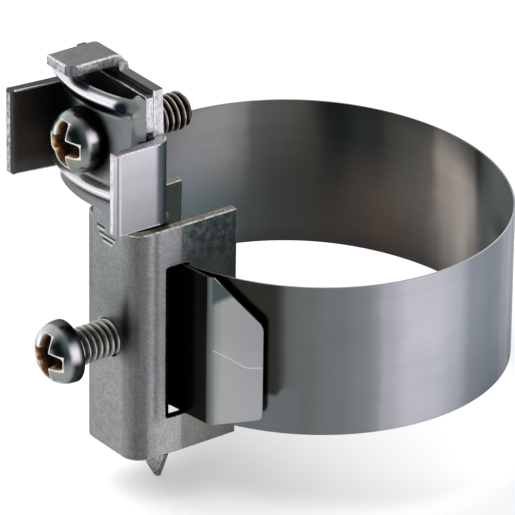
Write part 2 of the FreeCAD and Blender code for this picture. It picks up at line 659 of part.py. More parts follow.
def bracket():
    body = new_body("terminal_bracket")
    gauge, bend = s("bracket_gauge"), s("bracket_bend")
    inside = f"({PLATE_HALF} + {s('side_gap')})"
    outside = f"({inside} + {gauge})"
    bend_outside = f"{bend} + {gauge}"
    back = new_sketch(body, "back_outline", "XZ_Plane", f"{s('web_distance')} - {GAUGE}")
    rectangle(back, f"-{inside}", s("guard_bottom"), s("ear_reach"), s("back_top"))
    extrude(body, "Pad", "back_plate", back, gauge, reverse=True)

    root = NECK_HALF
    guard = new_sketch(body, "guard_section", "XY_Plane", s("guard_bottom"))
    polygon(guard, [(root, BRACKET_BACK), (outside, BRACKET_BACK), (outside, f"-{s('guard_reach')}"),
                    (inside, f"-{s('guard_reach')}"), (inside, WEB_BACK), (root, WEB_BACK)])
    extrude(body, "Pad", "side_guard", guard, f"{s('guard_top')} - {s('guard_bottom')}")
    middle = f"0.5 * ({s('guard_top')} + {s('guard_bottom')})"
    dress(body, "Fillet", "guard_bend_outside", [place(outside, BRACKET_BACK, middle)], Radius=bend_outside)
    dress(body, "Fillet", "guard_bend_inside", [place(inside, WEB_BACK, middle)], Radius=bend)

    flap = new_sketch(body, "flap_section", "XY_Plane", s("flap_bottom"))
    tip = f"-{s('flap_reach')}"
    polygon(flap, [(f"-{root}", BRACKET_BACK), (f"-{root}", WEB_BACK), (f"-{inside}", WEB_BACK),
                   (f"-({inside} + {s('flap_splay')})", tip), (f"-({outside} + {s('flap_splay')})", tip),
                   (f"-{outside}", BRACKET_BACK)])
    extrude(body, "Pad", "flap", flap, f"{s('flap_top')} - {s('flap_bottom')}")
    middle = f"0.5 * ({s('flap_top')} + {s('flap_bottom')})"
    dress(body, "Fillet", "flap_bend_outside", [place(f"-{outside}", BRACKET_BACK, middle)],
          Radius=bend_outside)
    dress(body, "Fillet", "flap_bend_inside", [place(f"-{inside}", WEB_BACK, middle)], Radius=bend)

    roof = new_sketch(body, "roof_section", "YZ_Plane", f"-{s('roof_left')}")
    under = f"{s('roof_top')} - {gauge}"
    foot = f"{s('back_top')} - {gauge}"
    reach = f"-{s('roof_reach')}"
    polygon(roof, [(BRACKET_BACK, foot), (BRACKET_BACK, s("roof_top")), (reach, s("roof_top")),
                   (reach, under), (WEB_BACK, under), (WEB_BACK, foot)])
    extrude(body, "Pad", "roof", roof, f"{s('roof_left')} + {s('roof_right')}")
    middle = f"0.5 * ({s('roof_right')} - {s('roof_left')})"
    dress(body, "Fillet", "roof_bend_outside", [place(middle, BRACKET_BACK, s("roof_top"))],
          Radius=bend_outside)
    dress(body, "Fillet", "roof_bend_inside", [place(middle, WEB_BACK, under)], Radius=bend)
    roots = new_sketch(body, "root_outlines", "XZ_Plane", f"{s('web_distance')} - {GAUGE}")
    top, root_top = s("back_top"), f"{s('back_top')} + {s('roof_root')}"
    for way, side in ((1, s("roof_right")), (-1, s("roof_left"))):
        polygon(roots, [(f"{way} * {side}", top), (f"{way} * ({side} + {s('roof_root')})", top),
                        (f"{way} * {side}", root_top)])
    extrude(body, "Pad", "roof_roots", roots, gauge, reverse=True)
    dress(body, "Chamfer", "roof_corner_cut",
          [place(s("roof_right"), reach, f"{s('roof_top')} - 0.5 * {gauge}")], Size=s("roof_corner"))

    hole = new_sketch(body, "rivet_hole", "XZ_Plane", f"{s('web_distance')} - {GAUGE}")
    circle(hole, "0", TERMINAL_Z, f"{COLLAR_RADIUS} + {s('thread_clearance')}")
    extrude(body, "Pocket", "rivet_seat", hole, f"2 * {gauge}")
    return body


TENSION_SEAT = (f"-({s('piece_distance')} + {s('piece_gauge')} + {s('seat_gap')}"
                f" + {s('tension_screw_length')})")
TERMINAL_SEAT = f"({PLATE_FRONT} - {s('seat_gap')})"

pieces = [
    channel(),
    strap(),
    pressure_piece(),
    screw("tension_screw", s("tension_screw_length"), TENSION_SEAT, "0"),
    bracket(),
    pressure_plate(),
    screw("terminal_screw", s("terminal_screw_length"), TERMINAL_SEAT, TERMINAL_Z),
]
doc.recompute()

for item in doc.Objects:
    if "Invalid" in item.State or "Error" in item.State:
        raise ValueError(f"{item.Label} failed: {item.State}")
for piece in pieces:
    if piece.Shape.isNull() or not piece.Shape.isValid() or len(piece.Shape.Solids) != 1:
        raise ValueError(f"{piece.Label} is not one valid solid")

os.makedirs("parts", exist_ok=True)
for piece in pieces:
    piece.Shape.exportStep(f"parts/{piece.Label}.step")
    print(piece.Label, round(piece.Shape.Volume, 1), piece.Shape.BoundBox)
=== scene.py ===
"""Earthing pipe clamp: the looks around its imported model."""

import math

import bmesh
import bpy
from mathutils import Matrix, Vector


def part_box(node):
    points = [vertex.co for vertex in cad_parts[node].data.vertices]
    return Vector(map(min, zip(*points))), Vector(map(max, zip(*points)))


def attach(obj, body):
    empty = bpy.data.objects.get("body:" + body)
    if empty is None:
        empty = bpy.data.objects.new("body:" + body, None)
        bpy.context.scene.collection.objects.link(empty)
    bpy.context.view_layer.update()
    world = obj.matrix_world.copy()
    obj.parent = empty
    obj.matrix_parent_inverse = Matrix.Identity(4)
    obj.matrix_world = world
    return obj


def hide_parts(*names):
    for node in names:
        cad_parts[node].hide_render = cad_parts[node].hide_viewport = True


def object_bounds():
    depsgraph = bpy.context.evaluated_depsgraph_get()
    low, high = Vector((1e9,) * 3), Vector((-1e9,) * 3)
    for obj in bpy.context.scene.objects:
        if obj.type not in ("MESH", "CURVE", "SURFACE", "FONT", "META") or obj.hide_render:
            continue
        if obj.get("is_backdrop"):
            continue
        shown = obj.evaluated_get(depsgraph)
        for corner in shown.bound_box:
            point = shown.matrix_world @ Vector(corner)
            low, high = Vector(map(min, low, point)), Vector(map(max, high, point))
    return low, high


bl_info = {
    "name": "Earthing Pipe Clamp",
    "version": (1, 0, 0),
    "blender": (4, 5, 0),
    "location": "3D View > Sidebar > Clamp",
    "description": "Dresses the packed earthing pipe clamp with modelled pieces and metal finishes",
    "category": "Object",
}

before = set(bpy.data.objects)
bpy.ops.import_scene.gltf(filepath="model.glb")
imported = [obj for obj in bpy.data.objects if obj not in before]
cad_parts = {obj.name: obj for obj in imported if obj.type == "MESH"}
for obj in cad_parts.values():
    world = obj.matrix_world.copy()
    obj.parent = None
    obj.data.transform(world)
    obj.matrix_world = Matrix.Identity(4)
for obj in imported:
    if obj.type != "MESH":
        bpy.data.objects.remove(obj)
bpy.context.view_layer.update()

MM = 0.001

# Loop's centre, in mm
LOOP_X = -2.8

# Bars of the web's earth sign: left end, right end, height, half thickness, in mm
EARTH_BARS = ((-2.7, -0.8, 18.1, 0.2), (-2.1, 1.9, 17.1, 0.14), (-1.2, 1.2, 16.3, 0.2))

# Heights of the terminal screw and of the pressure plate's two beads, in mm
SCREW_Z = 34.6
UPPER_BEAD = 42.75
LOWER_BEAD = 27.8

# Node, body, length from under the head to the tip, and height of each screw, in mm
SCREWS = (("terminal_screw", "terminal_turn", 17.9, SCREW_Z), ("tension_screw", "tension_turn", 14.6, 0.0))

# Half width and half length of the arms of a screw's cross recess, in mm
RECESS_ARM = 1.45
RECESS_SPAN = 4.8


# Shader building


class Value:
    """A number socket that takes part in Python arithmetic, and the masks made from it."""

    def __init__(self, nodes, socket):
        self.nodes = nodes
        self.socket = socket

    def __add__(self, other):
        return self.nodes.math("ADD", self, other)

    __radd__ = __add__

    def __sub__(self, other):
        return self.nodes.math("SUBTRACT", self, other)

    def __rsub__(self, other):
        return self.nodes.math("SUBTRACT", other, self)

    def __mul__(self, other):
        return self.nodes.math("MULTIPLY", self, other)

    __rmul__ = __mul__

    def __truediv__(self, other):
        return self.nodes.math("DIVIDE", self, other)

    def __rtruediv__(self, other):
        return self.nodes.math("DIVIDE", other, self)

    def rise(self, low, high):
        """Smooth step from 0 at one value to 1 at another."""
        made = self.nodes.node("ShaderNodeMapRange", {"interpolation_type": "SMOOTHSTEP"}, Value=self,
                               From_Min=low, From_Max=high)
        return Value(self.nodes, made.outputs["Result"])

    def between(self, low, high, soft):
        """Soft window that is 1 between two values."""
        return self.rise(low - soft, low + soft) * self.rise(high + soft, high - soft)


class Nodes:
    """A node tree whose nodes all come from one method."""

    def __init__(self, tree):
        self.tree = tree

    def node(self, kind, settings=None, **inputs):
        """Node of a type, its settings set first, then its inputs by name or by number."""
        made = self.tree.nodes.new(kind)
        for name, setting in (settings or {}).items():
            if name == "stops":
                fill_ramp(made.color_ramp, setting)
            else:
                setattr(made, name, setting)
        for name, given in inputs.items():
            key = int(name[1:]) if name[0] == "i" and name[1:].isdigit() else name.replace("_", " ")
            self.feed(made.inputs[key], given)
        return made

    def feed(self, socket, given):
        """Link a socket to what is given, or set its value."""
        if isinstance(given, Value):
            given = given.socket
        if isinstance(given, bpy.types.NodeSocket):
            self.tree.links.new(given, socket)
        elif socket.type == "RGBA" and len(given) == 3:
            socket.default_value = (*given, 1.0)
        else:
            socket.default_value = given

    def math(self, operation, *values):
        numbered = {f"i{index}": value for index, value in enumerate(values)}
        return Value(self, self.node("ShaderNodeMath", {"operation": operation}, **numbered).outputs[0])


class Finish(Nodes):
    """One procedural metal around a Principled shader, painted by its place in millimetres."""

    def __init__(self, name, roughness, metallic=1.0):
        self.material = bpy.data.materials.new(name)
        self.material.use_nodes = True
        super().__init__(self.material.node_tree)
        self.shader = self.tree.nodes["Principled BSDF"]
        self.shader.inputs["Metallic"].default_value = metallic
        self.shader.inputs["Roughness"].default_value = roughness
        self.shader.inputs["Specular Tint"].default_value = (0.5, 0.5, 0.5, 1.0)
        place = self.node("ShaderNodeTexCoord").outputs["Object"]
        apart = self.node("ShaderNodeSeparateXYZ", Vector=place)
        self.x, self.y, self.z = (Value(self, apart.outputs[axis]) / MM for axis in "XYZ")

    def reach(self, across, along):
        """Length of a flat vector."""
        return self.math("SQRT", across * across + along * along)

    def spot(self, across, along):
        """Soft round spot of radius 1, full at its middle."""
        return self.reach(across, along).rise(1.0, 0.0)

    def bearing(self, across, along):
        """Angle of a flat vector in degrees, from -90 to 270, 0 along the first axis."""
        return self.math("ARCTAN2", 0 - across, along) * math.degrees(1) + 90

    def noise(self, stretch, detail=2.0, roughness=0.6, seed=0.0):
        """Noise of 0 to 1 with so many cycles per mm, the same on all axes or given for each."""
        across, deep, high = stretch if isinstance(stretch, tuple) else (stretch,) * 3
        return self.noise_at(self.x * across + seed, self.y * deep, self.z * high, detail, roughness)

    def noise_at(self, first, second, third, detail=2.0, roughness=0.6):
        """Noise of 0 to 1 at coordinates of its own."""
        place = self.node("ShaderNodeCombineXYZ", X=first, Y=second, Z=third)
        made = self.node("ShaderNodeTexNoise", Vector=place.outputs[0], Scale=1.0, Detail=detail,
                         Roughness=roughness)
        return Value(self, made.outputs[0])

    def ramp(self, value, *stops):
        """Colour that runs through rising stops, each a value and a grey or a colour."""
        low, high = stops[0][0], stops[-1][0]
        share = self.node("ShaderNodeMapRange", None, Value=value, From_Min=low, From_Max=high)
        marks = [((at - low) / (high - low), (*tint(shade), 1.0)) for at, *shade in stops]
        made = self.node("ShaderNodeValToRGB", {"stops": marks}, Fac=share.outputs["Result"])
        return made.outputs["Color"]

    def mix(self, factor, base, over):
        """Colour that goes from a base to another by a factor."""
        made = self.node("ShaderNodeMix", {"data_type": "RGBA"}, i0=factor, i6=self.shade(base),
                         i7=self.shade(over))
        return made.outputs[2]

    def shade(self, given):
        """Colour socket as it is, or the linear colour of an 8-bit colour."""
        return given if isinstance(given, bpy.types.NodeSocket) else tint(given)

    def colour(self, colour):
        """Give the metal its colour."""
        self.base = colour
        self.feed(self.shader.inputs["Base Color"], self.shade(colour))

    def tones(self, value, *stops):
        """Give the metal the colours of a ramp."""
        self.colour(self.ramp(value, *stops))

    def paint(self, factor, over):
        """Lay a colour over the metal's own by a factor."""
        self.colour(self.mix(factor, self.base, over))

    def lighten(self, value):
        """Multiply the metal's colour by a value."""
        own = self.shade(self.base)
        self.colour(self.node("ShaderNodeVectorMath", {"operation": "SCALE"}, i0=own, Scale=value).outputs[0])

    def grain(self, amount, stretch=3.0, detail=3.0, seed=0.0):
        """Lighten and darken the metal's colour with a grain."""
        self.lighten(1 + (self.noise(stretch, detail, seed=seed) - 0.5) * (2 * amount))

    def bump(self, height, depth):
        """Relief of a height of 0 to 1 over a depth in mm."""
        made = self.node("ShaderNodeBump", None, Strength=1.0, Distance=depth * MM, Height=height)
        self.feed(self.shader.inputs["Normal"], made.outputs["Normal"])


def fill_ramp(ramp, stops):
    """Give a ramp its stops, in rising order."""
    ramp.interpolation = "EASE"
    for mark, stop in ((ramp.elements[0], stops[0]), (ramp.elements[1], stops[-1])):
        mark.position, mark.color = stop
    for position, colour in stops[1:-1]:
        ramp.elements.new(position).color = colour


def tint(shade):
    """Linear colour of an 8-bit colour, or of a grey given by itself."""
    steps = shade if len(shade) == 3 else [*shade] * 3
    return tuple(((step / 255 + 0.055) / 1.055) ** 2.4 if step > 10 else step / 255 / 12.92 for step in steps)


# Mesh building, in millimetres


def node_copy(name):
    """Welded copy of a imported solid, with its flat faces made whole."""
    mesh = bmesh.new()
    mesh.from_mesh(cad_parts[name].data)
    bmesh.ops.scale(mesh, vec=(1 / MM,) * 3, verts=mesh.verts)
    bmesh.ops.remove_doubles(mesh, verts=mesh.verts, dist=0.002)
    bmesh.ops.dissolve_limit(mesh, angle_limit=math.radians(0.6), verts=mesh.verts, edges=mesh.edges)
    return mesh


def add_object(name, data):
    """Object of a mesh, camera or lamp, put in the scene. A bmesh becomes a mesh first."""
    if isinstance(data, bmesh.types.BMesh):
        mesh, data = data, bpy.data.meshes.new(name)
        mesh.to_mesh(data)
        mesh.free()
    made = bpy.data.objects.new(name, data)
    bpy.context.collection.objects.link(made)
    return made


def make_piece(mesh, name, body, replaced, finishes, rounding=0.0, smooth=40.0, wall=0.0,
               wall_side=0, lit=-1, clamp=True):
    """Turn a finished mesh in mm into a piece that rides on a body."""
    bmesh.ops.scale(mesh, vec=(MM,) * 3, verts=mesh.verts)
    piece = add_object(name, mesh)
    data = piece.data
    for finish in finishes:
        data.materials.append(finish.material)
    data.polygons.foreach_set("use_smooth", [True] * len(data.polygons))
    data.set_sharp_from_angle(angle=math.radians(smooth))
    if wall:
        sheet = piece.modifiers.new("wall", "SOLIDIFY")
        sheet.thickness = wall * MM
        sheet.offset = wall_side
        sheet.use_even_offset = True
        sheet.material_offset = 1
        sheet.material_offset_rim = 2
    if rounding:
        edge = piece.modifiers.new("edges", "BEVEL")
        edge.width = rounding * MM
        edge.segments = 2
        edge.limit_method = "WEIGHT" if "bevel_weight_edge" in data.attributes else "ANGLE"
        edge.angle_limit = math.radians(35)
        edge.harden_normals = True
        edge.use_clamp_overlap = clamp
        edge.material = lit
    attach(piece, body)
    for node in replaced:
        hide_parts(node)
    return piece


def carve(mesh, cutter):
    """Take a closed cutter out of a closed mesh."""
    bodies = []
    for name, solid in (("carved", mesh), ("cutter", cutter)):
        bmesh.ops.recalc_face_normals(solid, faces=solid.faces)
        bodies.append(add_object(name, solid))
    taken = bodies[0].modifiers.new("taken", "BOOLEAN")
    taken.operation = "DIFFERENCE"
    taken.object = bodies[1]
    carved = bmesh.new()
    carved.from_object(bodies[0], bpy.context.evaluated_depsgraph_get())
    for body in bodies:
        data = body.data
        bpy.data.objects.remove(body)
        bpy.data.meshes.remove(data)
    return carved


def weigh_edges(mesh, test):
    """Leave the rounding to the square edges that pass a test."""
    weight = mesh.edges.layers.float.new("bevel_weight_edge")
    for edge in mesh.edges:
        if edge.is_manifold and edge.calc_face_angle() > math.radians(50) and test(edge):
            edge[weight] = 1.0


def round_corners(mesh, test, radius):
    """Round the edges whose two ends both pass a test."""
    edges = [edge for edge in mesh.edges if all(test(vert.co) for vert in edge.verts)]
    if not edges:
        raise ValueError("no corner to round")
    bmesh.ops.bevel(mesh, geom=edges, offset=radius, offset_type="OFFSET", segments=5, profile=0.5,
                    affect="EDGES", material=-1)


def mark_faces(mesh, index, test):
    """Give a material slot to the faces that pass a test on their normal and centre."""
    for face in mesh.faces:
        if test(face.normal, face.calc_center_median()):
            face.material_index = index


def heading(degrees):
    """Flat unit vector, counter-clockwise from +X."""
    angle = math.radians(degrees)
    return Vector((math.cos(angle), math.sin(angle), 0))


def edges_in(geometry):
    """Edges among the items of a mesh."""
    return [item for item in geometry if isinstance(item, bmesh.types.BMEdge)]


def run_on(mesh, edges, way):
    """Extrude a chain of edges along a vector and return the new chain."""
    made = bmesh.ops.extrude_edge_only(mesh, edges=edges)["geom"]
    verts = [item for item in made if isinstance(item, bmesh.types.BMVert)]
    bmesh.ops.translate(mesh, vec=way, verts=verts)
    return [edge for edge in edges_in(made) if set(edge.verts) <= set(verts)]


def turn_on(mesh, edges, centre, degrees, steps):
    """Spin a chain of edges about a vertical axis and return the last chain."""
    verts = list({vert for edge in edges for vert in edge.verts})
    made = bmesh.ops.spin(mesh, geom=verts + edges, cent=centre, axis=(0, 0, 1), angle=math.radians(degrees),
                          steps=steps, use_merge=False, use_duplicate=False)
    return edges_in(made["geom_last"])


def trim(mesh, point, normal, geometry=None):
    """Cut off what lies beyond a plane, and return the cut edges."""
    geometry = geometry or [*mesh.verts, *mesh.edges, *mesh.faces]
    made = bmesh.ops.bisect_plane(mesh, geom=geometry, plane_co=point, plane_no=normal, clear_outer=True,
                                  dist=0.0001)
    return edges_in(made["geom_cut"])


# Settings


def number(name, description, default, **kind):
    """Number property."""
    return bpy.props.FloatProperty(name=name, description=description, default=default, **kind)


def size(name, description, millimetres):
    """Length property with its default in millimetres."""
    return number(name, description, millimetres * MM, min=0, unit="LENGTH", precision=5)


class ClampSizes(bpy.types.PropertyGroup):
    """Sizes of the modelled pieces."""

    edge_round: size("Edge rounding", "Rounding of the channel's and the plate's cut edges", 0.2)
    bracket_round: size("Bracket edge rounding", "Rounding of the bracket's cut edges", 0.25)
    piece_round: size("Pressure piece edge rounding", "Rounding of the pressure piece's cut edges", 0.1)
    plate_half_width: size("Half plate width", "Half of the pressure plate's width", 10.2)
    plate_wall: size("Plate thickness", "Thickness of the pressure plate", 1.4)
    arch_radius: size("Arch radius", "Radius of the plate's broad arch", 21.0)
    arch_end_radius: size("Arch end radius", "Radius of the plate's two rounded ends", 2.4)
    bead_height: size("Bead height", "Height of the plate's pressed beads", 1.3)
    band_half_height: size("Half strap width", "Half of the strap's width", 12.5)
    band_wall: size("Strap thickness", "Thickness of the strap", 0.3)
    band_edge: size("Strap edge rounding", "Rounding of the strap's edges", 0.05)
    loop_half_width: size("Half loop width", "Half of the loop's width along X", 33.7)
    loop_half_depth: size("Half loop depth", "Half of the loop's depth along Y", 31.1)
    loop_side_radius: size("Loop side radius", "Radius of the loop's two side arcs", 30.0)
    flap_length: size("Flap length", "Length of the strap's folded flap", 9.0)
    head_radius: size("Head radius", "Radius of the screws' heads", 5.0)
    head_height: size("Head height", "Height of the screws' heads", 4.4)
    head_roundness: number("Head roundness", "Power of the heads' rounded outline, 2 is an ellipse", 2.4)
    thread_pitch: size("Thread pitch", "Pitch of the modelled threads", 1.1)
    thread_depth: size("Thread depth", "Depth of the modelled threads", 0.55)
    thread_radius: size("Thread radius", "Outer radius of the modelled threads", 2.98)


class StageSettings(bpy.types.PropertyGroup):
    """Camera, floor and light."""

    azimuth: number("Azimuth", "Camera's turn about the vertical", math.radians(53.2), unit="ROTATION")
    elevation: number("Elevation", "Camera's height above the horizon", math.radians(26.67), unit="ROTATION")
    roll: number("Roll", "Camera's roll", math.radians(0.69), unit="ROTATION")
    distance: number("Distance", "Camera's distance from the origin", 0.9976, unit="LENGTH")
    lens: number("Lens", "Focal length in mm on a 36 mm sensor", 450.2, min=1)
    aside: number("Sideways", "Camera's move to its right", -8.884 * MM, unit="LENGTH")
    upward: number("Upward", "Camera's move along its up direction", 1.886 * MM, unit="LENGTH")
    floor_size: number("Floor", "Side of the square floor", 4.0, unit="LENGTH")
    floor_colour: bpy.props.FloatVectorProperty(
        name="Floor colour", description="Colour of the floor", default=(0.93, 0.94, 0.96), subtype="COLOR")
    floor_white: number("Floor white", "Share of white in the floor as the camera sees it", 0.4, min=0, max=1)
    world_level: number("World light", "Strength of the even light from all round", 0.7, min=0)
    key_power: number("Key light", "Power of the large soft lamp", 30.0, unit="POWER")
    glint_power: number("Glint light", "Power of the lamp that the metal mirrors", 4.0, unit="POWER")


# Finishes of the sheets


def channel_outside():
    """Web, bends and flanks with a coarse tumbled grain, and painted shade, highlights and reflections on the
    bends, the far wing and the earth sign.
    """
    finish = Finish("channel_outside", 0.34)
    x, y, z = finish.x, finish.y, finish.z
    web = finish.ramp(
        z, (-19, 140, 141, 139), (-6, 142, 143, 141), (8, 122, 126, 124), (20, 134, 136, 136),
        (30, 134, 136, 138))
    # painted shade and highlights across the bends into the flank and the wing, in a second ramp near the
    # bottom
    bend = finish.ramp(
        y, (-39.3, 118, 120, 117), (-38.9, 100, 101, 98), (-38.4, 86, 88, 85), (-37.5, 93, 95, 93),
        (-37.0, 103, 105, 104), (-36.5, 131, 132, 132), (-36.0, 150, 151, 153), (-35.2, 118, 119, 120),
        (-34.4, 148, 149, 151), (-33.2, 154, 154, 156), (-31.2, 152, 153, 154), (-30.4, 120, 125, 125),
        (-25, 104, 111, 110), (-20, 76, 84, 81))
    lower = finish.ramp(
        y, (-39.3, 122, 123, 121), (-38.9, 102, 103, 100), (-38.4, 88, 89, 86), (-37.5, 94, 95, 92),
        (-37.0, 105, 106, 104), (-36.5, 138, 139, 139), (-36.0, 152, 153, 153), (-34.4, 172, 171, 172),
        (-31.0, 174, 171, 173), (-30.3, 140, 138, 134), (-24, 124, 123, 118), (-20, 104, 106, 102))
    bend = finish.mix(z.rise(-11, -14), bend, lower)
    # painted dark mottled reflections on the upper part of the wing beyond the crease
    patches = finish.noise(0.8, 4.0, 0.65).rise(0.36, 0.66)
    upper = finish.mix(patches, (62, 74, 73), (122, 131, 133))
    wing_reflection = y.rise(-31.2, -29.8) * z.rise(9, 17)
    bend = finish.mix(wing_reflection * 0.85, bend, upper)
    finish.colour(finish.mix(x.rise(3.2, 4.6), web, bend))
    # soft dark reflection of the tension screw beside its hole
    mirrored_screw = finish.spot((x - 4.8) / 3.4, (z - 3.0) / 7.5) * x.rise(2.0, 4.0)
    finish.paint(mirrored_screw * y.rise(-37.4, -38.4), (36, 36, 33))
    left = finish.ramp(
        y, (-39.3, 142, 142, 140), (-36, 120, 122, 122), (-30.7, 150, 152, 154), (-20, 120, 124, 126))
    finish.paint(x.rise(-4.6, -5.9), left)
    # painted shade on the tongue's top face under the roof
    finish.paint(z.rise(43.86, 43.88) * x.rise(9.3, 8.9), (50, 50, 48))
    finish.grain(0.58, 2.4, 5.0)
    finish.grain(0.2, 0.5, seed=9.0)
    # the earth sign's bars are painted dark as their shade, with painted highlights just below them
    marks, glints = earth_marks(finish, 0), earth_marks(finish, 0.34)
    finish.paint(marks * 0.85, (40, 40, 38))
    finish.paint(glints * (1 - marks) * 0.8, (206, 206, 204))
    fine = finish.noise(4.0, 4.0, seed=4.0)
    finish.feed(finish.shader.inputs["Roughness"], 0.28 + fine * 0.18)
    finish.bump(fine + marks * 2.2, 0.05)
    return finish


def earth_marks(finish, lowered):
    """Embossed slanted bars of a plain earth sign on the web, as a mask; lowered, it places the bars' painted
    highlights.
    """
    x, z = finish.x, finish.z + lowered
    marks = sum(x.between(left, right, 0.12) * (z - height).between(-thick, thick, 0.1)
                for left, right, height, thick in EARTH_BARS)
    return marks * finish.y.rise(-38.9, -39.2)


def painted_shade_inside(name, shade):
    """Unlit faces of a sheet, painted in one dark colour as shade."""
    finish = Finish(name, 0.55)
    finish.colour(shade)
    finish.grain(0.3, 1.5)
    return finish


def channel_inside():
    """Inner faces of the channel, painted dark as shade, with painted light only near the far wing's top."""
    finish = Finish("channel_inside", 0.5)
    x, y, z = finish.x, finish.y, finish.z
    lit = x.rise(-5, -5.5) * y.rise(-32.5, -29.5) * z.rise(9, 13)
    finish.colour(finish.mix(lit, (16, 14, 13), (92, 102, 97)))
    finish.grain(0.3, 1.6, 4.0)
    return finish


def lit_edge(name, light, dark, metallic=1.0):
    """Bright rounding along a sheared edge: a painted highlight, made patchy by noise."""
    finish = Finish(name, 0.3, metallic)
    patchy_highlight = finish.noise(2.2, 4.0, 0.6).rise(0.36, 0.58)
    finish.colour(finish.mix(patchy_highlight, dark, light))
    return finish


def cut_edge(name, light, dark, stretch, share=0.5):
    """Sheared edge: speckles and short stripes of two shades."""
    finish = Finish(name, 0.42)
    stripes = finish.noise(stretch, 4.0, 0.6)
    finish.colour(finish.mix(stripes.rise(share - 0.2, share + 0.2), dark, light))
    finish.grain(0.08, 4.0)
    finish.bump(stripes, 0.06)
    return finish


def flap_inside():
    """Inner face of the left flap, painted near-black as the dark it mirrors, lighter towards its front and
    lower down.
    """
    finish = Finish("flap_inside", 0.4)
    finish.tones(
        finish.y, (-48.6, 66, 62, 58), (-47.2, 46, 42, 38), (-42, 42, 39, 36), (-38, 24, 23, 22))
    finish.paint(finish.z.rise(28.5, 25.0) * 0.8, (74, 72, 68))
    finish.grain(0.25)
    finish.grain(0.15, 0.5)
    finish.bump(finish.noise(6.0), 0.03)
    return finish


def roof_top():
    """Grainy dark grey top of the roof."""
    finish = Finish("roof_top", 0.36)
    x, y = finish.x, finish.y
    finish.tones(
        y * 0.8 + x * 0.6, (-40.5, 146, 147, 148), (-37, 136, 138, 138), (-33, 136, 138, 138),
        (-29, 128, 131, 131))
    finish.grain(0.4, 1.9, 5.0)
    finish.grain(0.18, (0.6, 1.2, 0.6), seed=3.0)
    finish.bump(finish.noise(7.0), 0.04)
    return finish


def guard_face():
    """Pale pinkish guard with fine upright streaks, its painted reflection lighter towards the top, with
    painted dark bluish shade on its bend.
    """
    finish = Finish("guard_face", 0.36)
    y, z = finish.y, finish.z
    finish.tones(
        z, (23.6, 146, 145, 148), (27, 158, 156, 161), (32, 176, 173, 179), (36.4, 194, 190, 197),
        (37.0, 208, 204, 211))
    # painted dark bluish shade on the bend, then a painted dark line and highlight along the front edge
    finish.paint(y.rise(-39.4, -38.4), (82, 90, 96))
    finish.paint(y.between(-46.1, -45.9, 0.12), (112, 110, 116))
    finish.paint(y.between(-45.75, -45.4, 0.15) * 0.6, (216, 212, 218))
    streaks = finish.noise((0.5, 4.0, 0.28), 4.0, 0.65)
    speckles = finish.noise(3.5, 3.0, seed=5.0)
    finish.lighten(1 + (streaks - 0.5) * 0.22 + (speckles - 0.5) * 0.16)
    finish.bump(streaks + speckles, 0.02)
    return finish


def bracket_sheet():
    """Other faces of the bracket, with painted shade towards its inside corner and a painted highlight band
    above the guard.
    """
    finish = Finish("bracket_sheet", 0.38)
    x, z = finish.x, finish.z
    finish.tones(z, (23, 120, 121, 122), (35, 128), (47, 110, 112, 112))
    highlight_mottle = finish.noise(1.3, 4.0, 0.7).rise(0.45, 0.6)
    # a band above the guard's top, painted as a highlight mottled with brown and made less metallic there
    seen = z.between(36.2, 38.4, 0.3) * x.rise(5.5, 7.0) * finish.y.rise(-37.2, -37.5)
    finish.paint(seen, finish.mix(highlight_mottle, (150, 118, 92), (240, 230, 218)))
    finish.paint(x.rise(-9.0, -10.0), (86, 90, 88))
    finish.feed(finish.shader.inputs["Metallic"], 1 - seen)
    finish.grain(0.14, 2.6, 4.0)
    finish.bump(finish.noise(5.0), 0.03)
    return finish


def plate_face():
    """Polished arched plate, painted with its reflections: shade towards the left, lighter low down, a shadow
    ring beside the screw head, beads lit along the top and dark below.
    """
    finish = Finish("plate_face", 0.24)
    x, z = finish.x, finish.z
    finish.tones(
        x, (-10.2, 34, 40, 42), (-5, 52, 60, 60), (0, 72, 78, 78), (5, 86, 91, 89), (8.5, 104, 108, 110),
        (10.2, 120, 124, 122))
    finish.paint(z.rise(32, 28.8) * 0.85, (124, 126, 126))
    finish.grain(0.16, 0.7)
    # painted shadow in a ring beside the screw head
    ring = finish.reach(x, z - SCREW_Z)
    finish.paint(ring.rise(7.4, 5.1) * x.rise(-2, 2.5) * 0.95, (6, 8, 8))
    # painted highlights along the beads' tops, with painted shade below them
    upper = (
        (-3.0, 90, 98, 98), (-2.5, 124, 130, 132), (-2.1, 60, 66, 64), (-1.3, 40, 46, 44),
        (-0.75, 76, 78, 76), (-0.25, 174, 170, 173), (0.15, 234, 229, 235), (0.6, 238, 236, 242),
        (0.82, 140, 143, 147), (0.98, 84, 89, 91), (1.1, 168, 170, 174), (1.5, 176, 178, 182))
    lower = (
        (-3.0, 128, 131, 131), (-2.2, 112, 115, 114), (-1.4, 96, 99, 98), (-0.8, 136, 137, 136),
        (-0.4, 196, 192, 194), (0.3, 228, 224, 227), (0.8, 208, 205, 208), (1.15, 144, 145, 145),
        (1.7, 128, 130, 129))
    for level, end, stops in ((UPPER_BEAD, 8.3, upper), (LOWER_BEAD, 9.5, lower)):
        lift = z - level
        on_bead = lift.between(-2.6, 1.5, 0.25) * x.rise(end, end - 1.2)
        finish.paint(on_bead, finish.ramp(lift, *stops))
    # painted dark reflection at the upper bead's end, with a painted pale rim and highlight round it
    end_x, end_z = x - 8.7, z - UPPER_BEAD + 0.1
    away = finish.reach(end_x / 1.3, end_z / 1.1)
    finish.paint(away.rise(1.8, 1.45) * x.rise(7.4, 8.4), (122, 125, 122))
    rim_highlight = away.between(1.15, 1.6, 0.2) * end_z.rise(0.1, -0.7) * end_x.rise(1.3, 0.6)
    finish.paint(rim_highlight * 0.7, (168, 166, 162))
    finish.paint(away.rise(1.2, 0.5), (16, 26, 34))
    finish.grain(0.08)
    finish.bump(finish.noise(6.0), 0.012)
    return finish


